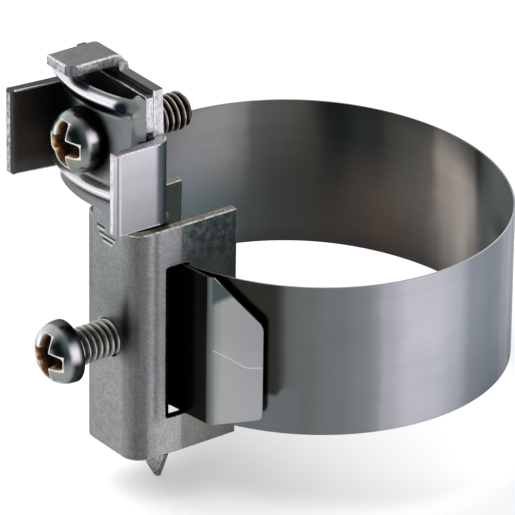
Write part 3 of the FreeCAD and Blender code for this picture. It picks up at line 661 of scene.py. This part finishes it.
def piece_sheet():
    """Pressure piece, dull, painted dark as shade inside the channel and lighter towards both ends; its pale
    edges are a finish of their own.
    """
    finish = Finish("piece_sheet", 0.4)
    finish.tones(
        finish.z, (-26.7, 150, 146, 140), (-20, 60, 58, 55), (-12, 26, 24, 22), (16, 30),
        (19.5, 96, 102, 100), (21.4, 126, 130, 128))
    finish.grain(0.15)
    finish.bump(finish.noise(6.0), 0.03)
    return finish


# Finishes of the strap


def roll_lines(finish, amount):
    """Fine lines along the rolled strip, with a soft cloudiness."""
    around = finish.bearing(finish.x - LOOP_X, finish.y)
    lines = finish.noise_at(around * 0.006, 1.7, finish.z * 2.6, 4.0, 0.7)
    cloud = finish.noise_at(around * 0.05, 5.1, finish.z * 0.12, 2.0)
    finish.lighten(1 + (lines - 0.5) * (2 * amount) + (cloud - 0.5) * 0.22)
    finish.bump(lines, 0.006)


def strap_outside():
    """Outer side of the loop, with the broad reflections of a polished strip painted into its colour around
    the loop.
    """
    finish = Finish("strap_outside", 0.22)
    around = finish.bearing(finish.x - LOOP_X, finish.y)
    around = around + (finish.noise_at(around * 0.04, 2.0, finish.z * 0.1) - 0.5) * 3
    finish.tones(
        around, (-72, 36), (-45, 40, 40, 36), (-43.4, 50, 51, 48), (-41.8, 82, 84, 82), (-38, 87, 91, 90),
        (-28, 97, 102, 102), (-21, 108, 112, 114), (-18.5, 120, 122, 126), (-15.5, 148, 148, 154),
        (-8, 173, 172, 178), (-1, 174, 173, 182), (6, 159, 161, 170), (12, 128, 133, 141),
        (20, 124, 131, 138), (25, 132, 140, 148), (30, 162, 165, 175), (34.5, 176, 180, 190),
        (38.5, 104, 114, 122), (44, 76, 88, 95), (58, 150, 152, 160), (75, 100, 102, 108),
        (95, 150, 152, 158), (120, 186, 188, 194), (150, 128, 130, 136), (180, 88, 90, 94),
        (205, 150, 152, 158), (240, 118, 120, 124), (268, 80))
    # the painted dark reflection beside the flap ends above the lower rim
    below = (finish.z - around.rise(-45, -42) * 1.4).rise(-5.6, -6.8)
    finish.paint(below * around.between(-60, -38, 1.0), (91, 96, 97))
    roll_lines(finish, 0.09)
    return finish


def strap_inside():
    """Inner side of the loop, painted dark and brownish with its reflections, one pale upright reflection
    band and lighter towards the top.
    """
    finish = Finish("strap_inside", 0.24)
    z = finish.z
    around = finish.bearing(finish.x - LOOP_X, finish.y)
    wavy = around + (finish.noise_at(around * 0.03, 7.0, z * 0.12) - 0.5) * 4
    upper = finish.ramp(
        wavy, (-90, 60), (20, 88, 92, 92), (44, 104, 114, 112), (68, 108, 116, 114), (77, 88, 94, 92),
        (81.5, 84, 86, 84), (84.5, 142, 133, 127), (91, 150, 141, 133), (99, 136, 127, 120),
        (103.5, 84, 81, 77), (112, 70, 70, 65), (117, 62, 60, 56), (122, 42, 43, 42), (131, 44, 48, 48),
        (136, 54, 57, 55), (140.5, 76, 75, 70), (152, 80, 82, 78), (157, 88, 89, 87), (161, 126, 124, 122),
        (167, 144, 141, 140), (176, 148, 147, 149), (200, 110, 112, 116), (268, 60))
    lower = finish.ramp(
        wavy, (-90, 60), (20, 120, 122, 126), (44, 92, 99, 101), (66, 84, 92, 92), (78, 66, 72, 72),
        (84, 118, 112, 107), (89, 148, 143, 136), (96, 126, 118, 113), (101, 100, 94, 90),
        (106, 84, 79, 75), (118, 84, 75, 68), (130, 78, 70, 64), (138, 72, 70, 66), (150, 68, 70, 66),
        (158, 72, 76, 75), (165, 82, 90, 91), (176, 86, 100, 103), (200, 90, 92, 96), (268, 60))
    finish.colour(finish.mix((z - (wavy - 100) * 0.02).rise(7.5, -8.0), upper, lower))
    # a painted pale reflection band, and painted light towards the top
    reflected_band = around.between(83, 103, 2) * z.rise(3, 8)
    finish.lighten(1 + z.rise(6, 12) * 0.2 + reflected_band * 0.25)
    # shade of the far edge along the lower rim
    finish.paint(z.rise(-8.5, -12.4) * around.rise(88, 100) * 0.35, (34, 34, 33))
    # the near end mirrors only the dark loop, so it is left dull
    dull = z.rise(1, 7) * around.between(34, 80, 4)
    finish.feed(finish.shader.inputs["Metallic"], 1 - dull * 0.55)
    roll_lines(finish, 0.12)
    return finish


def strap_rim():
    """Bright slit edge of the strip, its painted highlight varying around the loop."""
    finish = Finish("strap_rim", 0.3)
    around = finish.bearing(finish.x - LOOP_X, finish.y)
    finish.tones(
        around, (-90, 150, 150, 146), (-20, 176, 178, 184), (30, 205, 208, 212), (60, 150, 152, 154),
        (110, 96, 98, 100), (150, 170, 172, 174), (268, 150))
    finish.grain(0.12, 1.0)
    return finish


def flap_front(crease, fold):
    """Folded flap, painted dark as shade at its crease, with painted reflections lighter low down and a dark
    reflected corner, and a long scratch.
    """
    finish = Finish("flap_front", 0.26)
    z = finish.z
    way = heading(fold)
    along = (finish.x - crease.x) * way.x + (finish.y - crease.y) * way.y
    # painted shade along the crease, lightening across the flap
    finish.tones(
        along, (-0.6, 42, 42, 40), (-0.1, 74, 80, 76), (0.5, 100, 105, 101), (1.3, 130, 132, 131),
        (2.4, 141, 142, 142), (9.0, 137, 137, 139))
    # painted lighter low down and darker high up
    finish.paint(z.rise(2, -12) * along.rise(0.8, 2.0) * 0.5, (152, 153, 153))
    finish.lighten(1 - z.rise(0, 4) * 0.08)
    # painted dark reflection in the flap's upper corner
    corner = (z - along * 0.65).rise(7.0, 8.2)
    finish.paint(corner * along.rise(0.2, 0.8), (62, 73, 74))
    line = 0.3 - along.rise(0, 4) * 0.8 - along.rise(3.2, 6.6) * 0.9 + along.rise(6.2, 9.0) * 0.5
    line = line + (finish.noise((0.9, 0.9, 0.0)) - 0.5) * 0.35
    scratch = finish.math("ABSOLUTE", z - line).rise(0.16, 0.03) * along.rise(0.4, 0.9)
    finish.paint(scratch * 0.42, (206, 207, 206))
    finish.grain(0.05, (0.8, 0.8, 6.0))
    finish.bump(finish.noise((0.8, 0.8, 7.0)), 0.008)
    return finish


# Finishes of the screws


def head_finish(name, height, seat):
    """Chrome dome's painted reflections: pale upper left, a dark crescent, a bright glint on a dark rim. The
    low screw has two.
    """
    finish = Finish(name, 0.2)
    x, y, z = finish.x, finish.y, finish.z - height
    radius, angle = finish.reach(x, z), finish.bearing(x, z)
    finish.tones(
        angle, (-90, 122, 124, 118), (-30, 122, 125, 119), (4, 104, 110, 106), (20, 72, 82, 80),
        (50, 92, 104, 102), (85, 150, 152, 150), (125, 210, 217, 223), (152, 178, 186, 192),
        (190, 136, 136, 132), (240, 142, 138, 126), (270, 122, 124, 118))
    if not height:
        finish.lighten(1.2)
    crescent = radius.between(2.6, 4.4, 0.6) * angle.between(4, 66, 14)
    finish.paint(crescent, (14, 23, 23))
    # painted highlight on the lip round the recess, which narrows as the dome falls away
    middle_width, narrowing = 0.906, 0.0102
    shrink = middle_width - radius * radius * narrowing
    arm, span = shrink * RECESS_ARM, shrink * RECESS_SPAN
    flat_x, flat_z = finish.math("ABSOLUTE", x), finish.math("ABSOLUTE", z)
    beyond = finish.math("MINIMUM", finish.math("MAXIMUM", flat_x - arm, flat_z - span),
                         finish.math("MAXIMUM", flat_x - span, flat_z - arm))
    finish.paint(beyond.rise(0.24, 0.1) * 0.8, (230, 227, 222))
    outer = radius.rise(4.55, 4.85)
    rim = finish.ramp(
        angle, (-90, 70, 72, 70), (-30, 46, 48, 44), (0, 34, 38, 36), (40, 42, 50, 54), (75, 54, 52, 50),
        (100, 104, 106, 112), (150, 110, 114, 118), (200, 48, 42, 34), (240, 86, 80, 68), (270, 70, 72, 70))
    finish.paint(outer, rim)
    # painted shade on the rim's side next to the seat
    under = y.rise(seat - 1.2, seat - 0.3)
    finish.paint(outer * under * 0.6, (24, 25, 24))
    glint = radius.rise(4.45, 4.8) * angle.between(8, 36, 12) * (1 - under)
    finish.paint(glint, (236, 230, 238))
    if not height:
        low_glint = radius.between(4.0, 5.2, 0.35) * angle.between(-84, -56, 10) * (1 - under)
        finish.paint(low_glint, (214, 218, 216))
    finish.grain(0.08, 1.6)
    finish.bump(finish.noise(5.0), 0.01)
    return finish


def recess_finish(name, height, seat, sizes):
    """Driver recess: a painted bright highlight on its rim, golden flanks and a floor painted dark brown as
    shade, darker with depth.
    """
    finish = Finish(name, 0.4, 0.5)
    radius = finish.reach(finish.x, finish.z - height) / (sizes.head_radius / MM)
    power = sizes.head_roundness
    share = finish.math("POWER", 1 - finish.math("POWER", radius, power), 1 / power)
    depth = finish.y - seat + share * (sizes.head_height / MM)
    patches = finish.noise(0.8, 3.0, 0.6, seed=height) - 0.5
    finish.tones(
        depth + patches * 2.6, (0.1, 204, 184, 146), (0.4, 150, 117, 74), (0.8, 100, 68, 38),
        (1.3, 56, 36, 21), (2.2, 24, 16, 12))
    finish.paint(depth.rise(0.3, 0.1), (232, 228, 220))
    finish.grain(0.15, 4.0)
    return finish


def thread_finish(name, height, sizes):
    """Turned thread, painted bright on its crests and dark as shade in its roots, lighter on one side: brown
    below the crests on the terminal screw, silver on the other.
    """
    finish = Finish(name, 0.28)
    x, z = finish.x, finish.z - height
    crest = sizes.thread_radius / MM
    root = crest - sizes.thread_depth / MM
    silver = (
        (root, 72, 71, 68), (root + 0.25, 112, 110, 106), (crest - 0.12, 164, 163, 158),
        (crest, 206, 206, 203))
    brown = (
        (root, 22, 18, 15), (root + 0.2, 40, 33, 28), (crest - 0.2, 112, 101, 91),
        (crest - 0.04, 206, 198, 188), (crest, 220, 214, 206))
    finish.tones(finish.reach(x, z), *(brown if height else silver))
    across = z * 0.9 - x * 0.3
    lit_side = across.rise(-2.4, -0.4)
    finish.lighten(0.55 + lit_side * 0.45 - across.between(0.2, 1.1, 0.4) * 0.3)
    finish.grain(0.12)
    return finish


# Pieces


class CLAMP_OT_channel(bpy.types.Operator):
    """Channel with its tongue"""

    bl_idname = "clamp.channel"
    bl_label = "Channel"

    def execute(self, context):
        mesh = node_copy("body_channel")
        flank, wall_end, web_back, wall_edge, slot_end, neck = 7.1, 18.5, -38.2, -22, 12.9, 37
        mark_faces(mesh, 1, lambda normal, centre: abs(centre.x) < flank and centre.z < wall_end + 0.7
                   and (normal.x * centre.x < -0.3 or normal.y > 0.5 and centre.y > web_back))
        mark_faces(mesh, 1, lambda normal, centre: flank - 1.6 < abs(centre.x) < flank
                   and abs(centre.z) < slot_end and -33.5 < centre.y < -29.0 and abs(normal.x) < 0.9)
        mark_faces(mesh, 2, lambda normal, centre: abs(normal.z) > 0.9 and abs(centre.z) > wall_end)
        mark_faces(mesh, 2, lambda normal, centre: normal.y > 0.9 and centre.y > wall_edge)
        mark_faces(mesh, 3, lambda normal, centre: centre.z > neck and normal.x > 0.9)
        mark_faces(mesh, 0, lambda normal, centre: centre.z > neck and normal.z > 0.9)
        make_piece(mesh, "channel", "clamp_body", ["body_channel"],
                   [channel_outside(), channel_inside(),
                    cut_edge("channel_edge", (156, 150, 140), (78, 71, 62), 2.4, 0.46),
                    cut_edge("ear_edge", (228, 223, 232), (140, 138, 150), (2.5, 2.5, 1.2), 0.4),
                    lit_edge("channel_lit_edge", (206, 203, 198), (132, 132, 130))],
                   context.scene.clamp_sizes.edge_round / MM, lit=4, clamp=False)
        return {"FINISHED"}


class CLAMP_OT_bracket(bpy.types.Operator):
    """Terminal bracket"""

    bl_idname = "clamp.bracket"
    bl_label = "Terminal bracket"

    def execute(self, context):
        mesh = node_copy("terminal_bracket")
        # the pads on both sides of the roof's root are drawn in
        root_z, root_y, root_sides, pad_width, kept = 44.45, -38, (0.5, -5.7), 1.3, 0.4
        for vert in mesh.verts:
            if vert.co.z > root_z and vert.co.y > root_y:
                for side in root_sides:
                    if 0 < (vert.co.x - side) * math.copysign(1, side) < pad_width:
                        vert.co.x = side + (vert.co.x - side) * kept
        flap, guard, guard_top, roof = -9, 10.1, 37.2, 44.6
        round_corners(mesh, lambda place: place.x < flap and place.y < -48.5, 0.8)
        round_corners(mesh, lambda place: place.x > 9 and place.y < -46.5 and abs(place.z - 30.3) > 6, 0.7)
        mark_faces(mesh, 1, lambda normal, centre: normal.x > 0.5 and centre.x < flap)
        mark_faces(mesh, 2, lambda normal, centre: normal.y < -0.9 and centre.x < flap)
        mark_faces(mesh, 3, lambda normal, centre: normal.z > 0.9 and centre.z > roof + 1.9)
        mark_faces(mesh, 4, lambda normal, centre: centre.x > guard and centre.z < guard_top)
        mark_faces(mesh, 5, lambda normal, centre: centre.x > guard and centre.z < guard_top and
                   (normal.y < -0.9 or abs(normal.z) > 0.9))
        mark_faces(mesh, 9, lambda normal, centre: centre.z > roof and
                   (normal.y < -0.9 or abs(normal.x) > 0.9))
        mark_faces(mesh, 6, lambda normal, centre: centre.z > roof and normal.y < -0.3 and normal.x > 0.3)
        mark_faces(mesh, 7, lambda normal, centre: normal.z < -0.9 and centre.z > 40)
        mark_faces(mesh, 5, lambda normal, centre: 9.5 < centre.x < 9.9 and normal.x > 0.9)

        def rounded(edge):
            """Cut edges that are rounded and get the painted edge highlight: not the sharp corner cut, nor
            the roof's root.
            """
            if any(face.material_index == 6 for face in edge.link_faces):
                return False
            middle = (edge.verts[0].co + edge.verts[1].co) / 2
            if middle.z > 45.2 and middle.y < -36.2:
                return edge.calc_length() > 0.2
            return edge.calc_length() > 1.0 and not (middle.y > -38.2 and middle.z > 43.9)

        weigh_edges(mesh, rounded)
        make_piece(mesh, "bracket", "clamp_body", ["terminal_bracket"],
                   [bracket_sheet(), flap_inside(),
                    cut_edge("flap_edge", (196, 196, 204), (112, 112, 114), (2.5, 2.5, 1.4)),
                    roof_top(), guard_face(),
                    cut_edge("bracket_edge", (220, 217, 223), (166, 164, 170), (1.6, 1.6, 1.2), 0.42),
                    # the corner cut is painted darker than the other cut edges, as shade
                    cut_edge("corner_cut", (128, 128, 131), (72, 72, 75), (2.5, 2.5, 0.6)),
                    painted_shade_inside("roof_underside", (16, 13, 12)),
                    lit_edge("bracket_lit_edge", (232, 229, 235), (186, 184, 190)),
                    cut_edge("roof_edge", (184, 182, 187), (118, 118, 121), (1.6, 1.6, 1.2))],
                   context.scene.clamp_sizes.bracket_round / MM, lit=8, clamp=False)
        return {"FINISHED"}


class CLAMP_OT_plate(bpy.types.Operator):
    """Arched pressure plate"""

    bl_idname = "clamp.plate"
    bl_label = "Pressure plate"

    def execute(self, context):
        sizes = context.scene.clamp_sizes
        half, wall = sizes.plate_half_width / MM, sizes.plate_wall / MM
        broad, tight, bead = sizes.arch_radius / MM, sizes.arch_end_radius / MM, sizes.bead_height / MM
        bottom, top, hole, corner, end_y = 24.3, 44.0, 3.36, 0.8, -39.59
        bead_half, bead_end, bead_above, bead_below = 9.0, 1.7, 1.5, 2.3
        columns, rows = 88, 78
        lean = math.asin((half - tight) / (broad - tight))
        centre_y = end_y + (broad - tight) * math.cos(lean)
        straight = broad * lean
        reach = straight + tight * (math.pi / 2 - lean)
        mesh = bmesh.new()
        bmesh.ops.create_grid(mesh, x_segments=columns, y_segments=rows, size=0.5)
        bmesh.ops.scale(mesh, vec=(2 * reach, top - bottom, 1), verts=mesh.verts)
        bmesh.ops.translate(mesh, vec=(0, (top + bottom) / 2, 0), verts=mesh.verts)
        middle = Vector((0, SCREW_Z))
        within = [face for face in mesh.faces if (face.calc_center_median().xy - middle).length < hole]
        bmesh.ops.delete(mesh, geom=within, context="FACES")
        for vert in mesh.verts:
            aside = vert.co.xy - middle
            if vert.is_boundary and aside.length < hole + 1:
                vert.co.xy = middle + aside.normalized() * hole
            inner = Vector((math.copysign(reach - corner, vert.co.x),
                            min(max(vert.co.y, bottom + corner), top - corner)))
            aside = vert.co.xy - inner
            if abs(vert.co.x) > reach - corner and aside.length > corner:
                vert.co.xy = inner + aside.normalized() * corner
        for vert in mesh.verts:
            along, level = vert.co.xy
            lift = 0
            for height in (UPPER_BEAD, LOWER_BEAD):
                over = level - height
                away = math.hypot(max(abs(along) - bead_half, 0) / bead_end,
                                  over / (bead_above if over > 0 else bead_below))
                lift += bead * math.cos(math.pi / 2 * min(away, 1)) ** 2
            if abs(along) <= straight:
                turn, radius, origin = along / broad, broad + lift, Vector((0, centre_y, level))
            else:
                turn = math.copysign(lean + (abs(along) - straight) / tight, along)
                radius, origin = tight + lift, Vector((math.copysign(half - tight, along), end_y, level))
            vert.co = origin + Vector((math.sin(turn), -math.cos(turn), 0)) * radius
        mesh.normal_update()
        foremost = min(mesh.faces, key=lambda face: face.calc_center_median().y)
        if foremost.normal.y > 0:
            bmesh.ops.reverse_faces(mesh, faces=mesh.faces)
        make_piece(mesh, "pressure_plate", "plate_slide", ["terminal_pressure_plate"],
                   [plate_face(), painted_shade_inside("plate_back", (58, 60, 60)),
                    lit_edge("plate_lit_edge", (150, 151, 153), (110, 112, 113), 0.5)],
                   sizes.edge_round / MM, wall=wall, wall_side=-1)
        return {"FINISHED"}


class CLAMP_OT_pressure_piece(bpy.types.Operator):
    """Pressure piece behind the tension screw"""

    bl_idname = "clamp.pressure_piece"
    bl_label = "Pressure piece"

    def execute(self, context):
        mesh = node_copy("pressure_piece")
        mark_faces(mesh, 1, lambda normal, centre: abs(normal.z) > 0.3 and abs(centre.z) > 20.9
                   or abs(normal.x) > 0.4 and centre.z < -20)
        make_piece(mesh, "pressure_piece", "pressure_slide", ["pressure_piece"],
                   [piece_sheet(), cut_edge("piece_edge", (226, 222, 216), (80, 72, 64), (3.0, 7.0, 3.0))],
                   context.scene.clamp_sizes.piece_round / MM)
        return {"FINISHED"}


class CLAMP_OT_strap(bpy.types.Operator):
    """Strap with its hook, loop and folded flap"""

    bl_idname = "clamp.strap"
    bl_label = "Strap"

    def execute(self, context):
        sizes = context.scene.clamp_sizes
        half, depth = sizes.band_half_height / MM, sizes.loop_half_depth / MM
        side, width = sizes.loop_side_radius / MM, sizes.loop_half_width / MM
        aside, short = width - side, depth - side
        beyond = (aside ** 2 - short ** 2) / (2 * short)
        end = depth + beyond
        corner = math.degrees(math.atan2(aside, beyond))
        # turns of the rear layer, the front layer and the flap, in degrees
        rear, front, fold = 2.0, 7.0, 29.0
        rear_y, lead, hook, crease_x = -29.55, 8.0, 0.6, 12.15
        upper_cut, lower_cut, tip_round = 6.4, 2.8, 0.8
        meet = math.degrees(math.acos((beyond - rear_y - lead * math.cos(math.radians(rear))) / (end - lead)))
        front_centre = Vector((LOOP_X, beyond, 0))
        lead_centre = front_centre + heading(meet - 90) * (end - lead)
        lead_start = lead_centre + heading(rear - 90) * lead
        tail = Vector((-7.9, -24.1, 0))
        hook_x = tail.x + hook * (1 + math.sin(math.radians(rear)))
        hook_end = Vector((hook_x, lead_start.y - math.tan(math.radians(rear)) * (lead_start.x - hook_x), 0))
        hook_centre = hook_end - heading(rear - 90) * hook

        mesh = bmesh.new()
        ends = [mesh.verts.new((tail.x, tail.y, height)) for height in (half, -half)]
        chain = [mesh.edges.new(ends)]
        chain = run_on(mesh, chain, hook_centre - Vector((hook, 0, 0)) - tail)
        chain = turn_on(mesh, chain, hook_centre, 90 + rear, 6)
        chain = run_on(mesh, chain, lead_start - hook_end)
        chain = turn_on(mesh, chain, lead_centre, meet - rear, 5)
        back_centre = Vector((LOOP_X, -beyond, 0))
        right_centre, left_centre = Vector((LOOP_X + aside, 0, 0)), Vector((LOOP_X - aside, 0, 0))
        for centre, sweep, steps in ((front_centre, corner - meet, 8), (right_centre, 180 - 2 * corner, 48),
                                     (back_centre, 2 * corner, 26), (left_centre, 180 - 2 * corner, 48),
                                     (front_centre, corner + front, 16)):
            chain = turn_on(mesh, chain, centre, sweep, steps)
        point = chain[0].verts[0].co
        reach = crease_x - point.x
        chain = run_on(mesh, chain, Vector((reach, reach * math.tan(math.radians(front)), 0)))
        before = set(mesh.faces)
        crease = chain[0].verts[0].co.copy()
        chain = turn_on(mesh, chain, crease + heading(front + 90), fold - front, 5)
        flap_start = chain[0].verts[0].co.copy()
        chain = run_on(mesh, chain, heading(fold) * (sizes.flap_length / MM))
        flap = [face for face in mesh.faces if face not in before]
        for face in flap:
            face.material_index = 3
        tip = chain[0].verts[0].co.copy()
        way = heading(fold)
        for side_way, drop in ((1, upper_cut), (-1, lower_cut)):
            slope = drop / (sizes.flap_length / MM - tip_round)
            normal = Vector((way.x * slope, way.y * slope, side_way)).normalized()
            faces = [face for face in mesh.faces if face.material_index == 3]
            geometry = list({item for face in faces for item in (*face.verts, *face.edges)}) + faces
            trim(mesh, Vector((tip.x, tip.y, side_way * (half - drop))), normal, geometry)
        corners = [vert for vert in mesh.verts if (vert.co.xy - tip.xy).length < 0.01]
        bmesh.ops.bevel(mesh, geom=corners, offset=tip_round, offset_type="OFFSET", segments=4, profile=0.5,
                        affect="VERTICES", material=-1)
        bmesh.ops.remove_doubles(mesh, verts=mesh.verts, dist=0.001)
        bmesh.ops.recalc_face_normals(mesh, faces=mesh.faces)
        rightmost = max(mesh.faces, key=lambda face: face.calc_center_median().x)
        if rightmost.normal.x < 0:
            bmesh.ops.reverse_faces(mesh, faces=mesh.faces)
        rim = strap_rim()
        make_piece(mesh, "strap_band", "clamp_body", ["strap"],
                   [strap_outside(), strap_inside(), rim, flap_front(flap_start, fold), rim, rim],
                   sizes.band_edge / MM, wall=sizes.band_wall / MM)
        return {"FINISHED"}


class CLAMP_OT_screws(bpy.types.Operator):
    """Terminal screw and tension screw, with their threads"""

    bl_idname = "clamp.screws"
    bl_label = "Screws"

    def execute(self, context):
        sizes = context.scene.clamp_sizes
        for node, body, length, height in SCREWS:
            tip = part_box(node)[1][1] / MM
            seat = tip - length
            spare = 0.4 if height else 0.0
            self.head(node, body, height, seat, sizes)
            self.thread(node, body, height, seat, tip + spare, sizes)
        return {"FINISHED"}

    def head(self, node, body, height, seat, sizes):
        """Domed head with a tapered cross recess."""
        radius, crown, rim = sizes.head_radius / MM, sizes.head_height / MM, sizes.head_roundness
        axis = Vector((0, seat, height))

        def rise_at(aside):
            """Height of the smoothly rounded head above its seat."""
            return crown * (1 - min(aside / radius, 1) ** rim) ** (1 / rim)

        rings, segments = 20, 72
        mesh = bmesh.new()
        asides = [radius * math.sin(math.pi / 2 * ring / rings) for ring in range(rings + 1)]
        verts = [mesh.verts.new(axis + Vector((aside, -rise_at(aside), 0))) for aside in asides]
        verts.append(mesh.verts.new(axis))
        edges = [mesh.edges.new(pair) for pair in zip(verts, verts[1:])]
        bmesh.ops.spin(mesh, geom=verts + edges, cent=axis, axis=(0, 1, 0), angle=2 * math.pi, steps=segments,
                       use_merge=True, use_duplicate=False)
        bmesh.ops.remove_doubles(mesh, verts=mesh.verts, dist=0.001)

        cutter = bmesh.new()
        depth, taper, above, widest = 3.4, 0.6, 0.8, 4.1
        bmesh.ops.create_cone(cutter, cap_ends=True, segments=64, radius1=1, radius2=1, depth=depth)
        for vert in cutter.verts:
            angle = math.atan2(vert.co.y, vert.co.x)
            long_way = max(abs(math.cos(angle)), abs(math.sin(angle))) / RECESS_SPAN
            cross_way = min(abs(math.cos(angle)), abs(math.sin(angle))) / RECESS_ARM
            size_here = (long_way ** 6 + cross_way ** 6) ** (-1 / 6)
            if vert.co.z < 0:
                size_here *= taper
            flat = Vector((math.cos(angle), 0, math.sin(angle))) * size_here
            vert.co = axis + flat - Vector((0, crown + above - (depth if vert.co.z < 0 else 0), 0))
        mesh = carve(mesh, cutter)
        for face in mesh.faces:
            centre = face.calc_center_median()
            around = math.hypot(centre.x, centre.z - height)
            sunk = seat - rise_at(around) + 0.1 < centre.y < seat - 0.4
            face.material_index = 1 if around < widest and sunk else 0
        make_piece(mesh, f"{node}_head", body, [node],
                   [head_finish(f"{node}_chrome", height, seat),
                    recess_finish(f"{node}_recess", height, seat, sizes)], smooth=35)

    def thread(self, node, body, height, seat, tip, sizes):
        """Helical thread from the head to the tip."""
        pitch, crest = sizes.thread_pitch / MM, sizes.thread_radius / MM
        root = crest - sizes.thread_depth / MM
        steps, chamfer, run_in = 28, 0.7, 1.3
        turns = math.ceil((tip - seat) / pitch) + 2
        mesh = bmesh.new()
        profile = ((0, root), (0.1, root), (0.44, crest), (0.56, crest), (0.9, root), (1, root))
        start = seat - run_in * pitch
        verts = [mesh.verts.new((radius, start + share * pitch, height)) for share, radius in profile]
        edges = [mesh.edges.new(pair) for pair in zip(verts, verts[1:])]
        bmesh.ops.spin(mesh, geom=verts + edges, cent=(0, 0, height), axis=(0, 1, 0),
                       dvec=(0, pitch / steps, 0), angle=2 * math.pi * turns, steps=steps * turns,
                       use_merge=False, use_duplicate=False)
        bmesh.ops.remove_doubles(mesh, verts=mesh.verts, dist=0.001)
        for vert in mesh.verts:
            limit = crest - max(0.0, vert.co.y - (tip - chamfer))
            radius = math.hypot(vert.co.x, vert.co.z - height)
            if radius > limit:
                vert.co.x *= limit / radius
                vert.co.z = height + (vert.co.z - height) * limit / radius
        for point, way in ((seat - 0.01, -1), (tip, 1)):
            cut = trim(mesh, Vector((0, point, 0)), Vector((0, way, 0)))
            bmesh.ops.holes_fill(mesh, edges=cut, sides=0)
        bmesh.ops.recalc_face_normals(mesh, faces=mesh.faces)
        make_piece(mesh, f"{node}_thread", body, [],
                   [thread_finish(f"{node}_turned", height, sizes)], smooth=50)


class CLAMP_OT_stage(bpy.types.Operator):
    """Camera, floor and soft light"""

    bl_idname = "clamp.stage"
    bl_label = "Stage"

    def execute(self, context):
        settings = context.scene.clamp_stage
        azimuth, elevation, roll = settings.azimuth, settings.elevation, settings.roll
        back = Vector((math.sin(azimuth) * math.cos(elevation), -math.cos(azimuth) * math.cos(elevation),
                       math.sin(elevation)))
        level = Vector((math.cos(azimuth), math.sin(azimuth), 0))
        upright = back.cross(level)
        right = level * math.cos(roll) + upright * math.sin(roll)
        up = upright * math.cos(roll) - level * math.sin(roll)
        camera = add_object("camera", bpy.data.cameras.new("camera"))
        camera.data.lens = settings.lens
        camera.data.sensor_width = 36
        camera.data.clip_end = 20
        axes = Matrix((right, up, back)).transposed().to_4x4()
        place = back * settings.distance + right * settings.aside + up * settings.upward
        camera.matrix_world = Matrix.Translation(place) @ axes
        context.scene.camera = camera

        mesh = bmesh.new()
        bmesh.ops.create_grid(mesh, x_segments=1, y_segments=1, size=settings.floor_size / 2)
        bmesh.ops.translate(mesh, vec=(0, 0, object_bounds()[0][2]), verts=mesh.verts)
        floor = add_object("floor", mesh)
        ground = Finish("floor_paper", 0.9, 0.0)
        ground.feed(ground.shader.inputs["Base Color"], tuple(settings.floor_colour))
        paper = ground.node("ShaderNodeEmission", None, Color=(1, 1, 1), Strength=1.0)
        path = ground.node("ShaderNodeLightPath")
        bright = Value(ground, path.outputs["Is Camera Ray"]) * settings.floor_white
        lifted = ground.node("ShaderNodeMixShader", None, i0=bright, i1=ground.shader.outputs["BSDF"],
                             i2=paper.outputs["Emission"])
        ground.feed(ground.tree.nodes["Material Output"].inputs["Surface"], lifted.outputs[0])
        floor.data.materials.append(ground.material)
        floor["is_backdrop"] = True

        world = bpy.data.worlds.new("studio")
        context.scene.world = world
        world.use_nodes = True
        sky = Nodes(world.node_tree)
        world.node_tree.nodes.clear()
        seen = sky.node("ShaderNodeLightPath")
        lit = sky.node("ShaderNodeBackground", None, Strength=settings.world_level)
        white = sky.node("ShaderNodeBackground", None, Color=(1, 1, 1), Strength=1.0)
        direct = sky.math("MAXIMUM", Value(sky, seen.outputs["Is Camera Ray"]),
                          Value(sky, seen.outputs["Is Glossy Ray"]))
        both = sky.node("ShaderNodeMixShader", None, i0=direct, i1=lit.outputs[0], i2=white.outputs[0])
        sky.node("ShaderNodeOutputWorld", None, Surface=both.outputs[0])

        lamp_size, lamp_place = 1.2, (-0.5, -0.7, 1.3)
        # the key lamp throws the shadow, the glint lamp shows only in the metal
        for name, power in (("key", settings.key_power), ("glint", settings.glint_power)):
            lamp = bpy.data.lights.new(name, "AREA")
            lamp.energy = power
            lamp.size = lamp_size
            light = add_object(name, lamp)
            light.location = lamp_place
            light.rotation_euler = (-light.location).to_track_quat("-Z", "Y").to_euler()
            light.visible_glossy = name == "glint"
            light.visible_diffuse = name == "key"
        context.scene.view_settings.view_transform = "Standard"
        return {"FINISHED"}


class CLAMP_PT_panel(bpy.types.Panel):
    """Lists the clamp's pieces"""

    bl_label = "Earthing pipe clamp"
    bl_space_type = "VIEW_3D"
    bl_region_type = "UI"
    bl_category = "Clamp"

    def draw(self, context):
        for operator in PIECES:
            self.layout.operator(operator.bl_idname)


PIECES = (CLAMP_OT_channel, CLAMP_OT_bracket, CLAMP_OT_plate, CLAMP_OT_pressure_piece, CLAMP_OT_strap,
          CLAMP_OT_screws, CLAMP_OT_stage)
CLASSES = (ClampSizes, StageSettings, *PIECES, CLAMP_PT_panel)


def register():
    for kind in CLASSES:
        bpy.utils.register_class(kind)
    bpy.types.Scene.clamp_sizes = bpy.props.PointerProperty(type=ClampSizes)
    bpy.types.Scene.clamp_stage = bpy.props.PointerProperty(type=StageSettings)


def unregister():
    del bpy.types.Scene.clamp_stage
    del bpy.types.Scene.clamp_sizes
    for kind in reversed(CLASSES):
        bpy.utils.unregister_class(kind)


def main():
    register()
    bpy.ops.clamp.channel()
    bpy.ops.clamp.bracket()
    bpy.ops.clamp.plate()
    bpy.ops.clamp.pressure_piece()
    bpy.ops.clamp.strap()
    bpy.ops.clamp.screws()
    bpy.ops.clamp.stage()


if __name__ == "__main__":
    main()
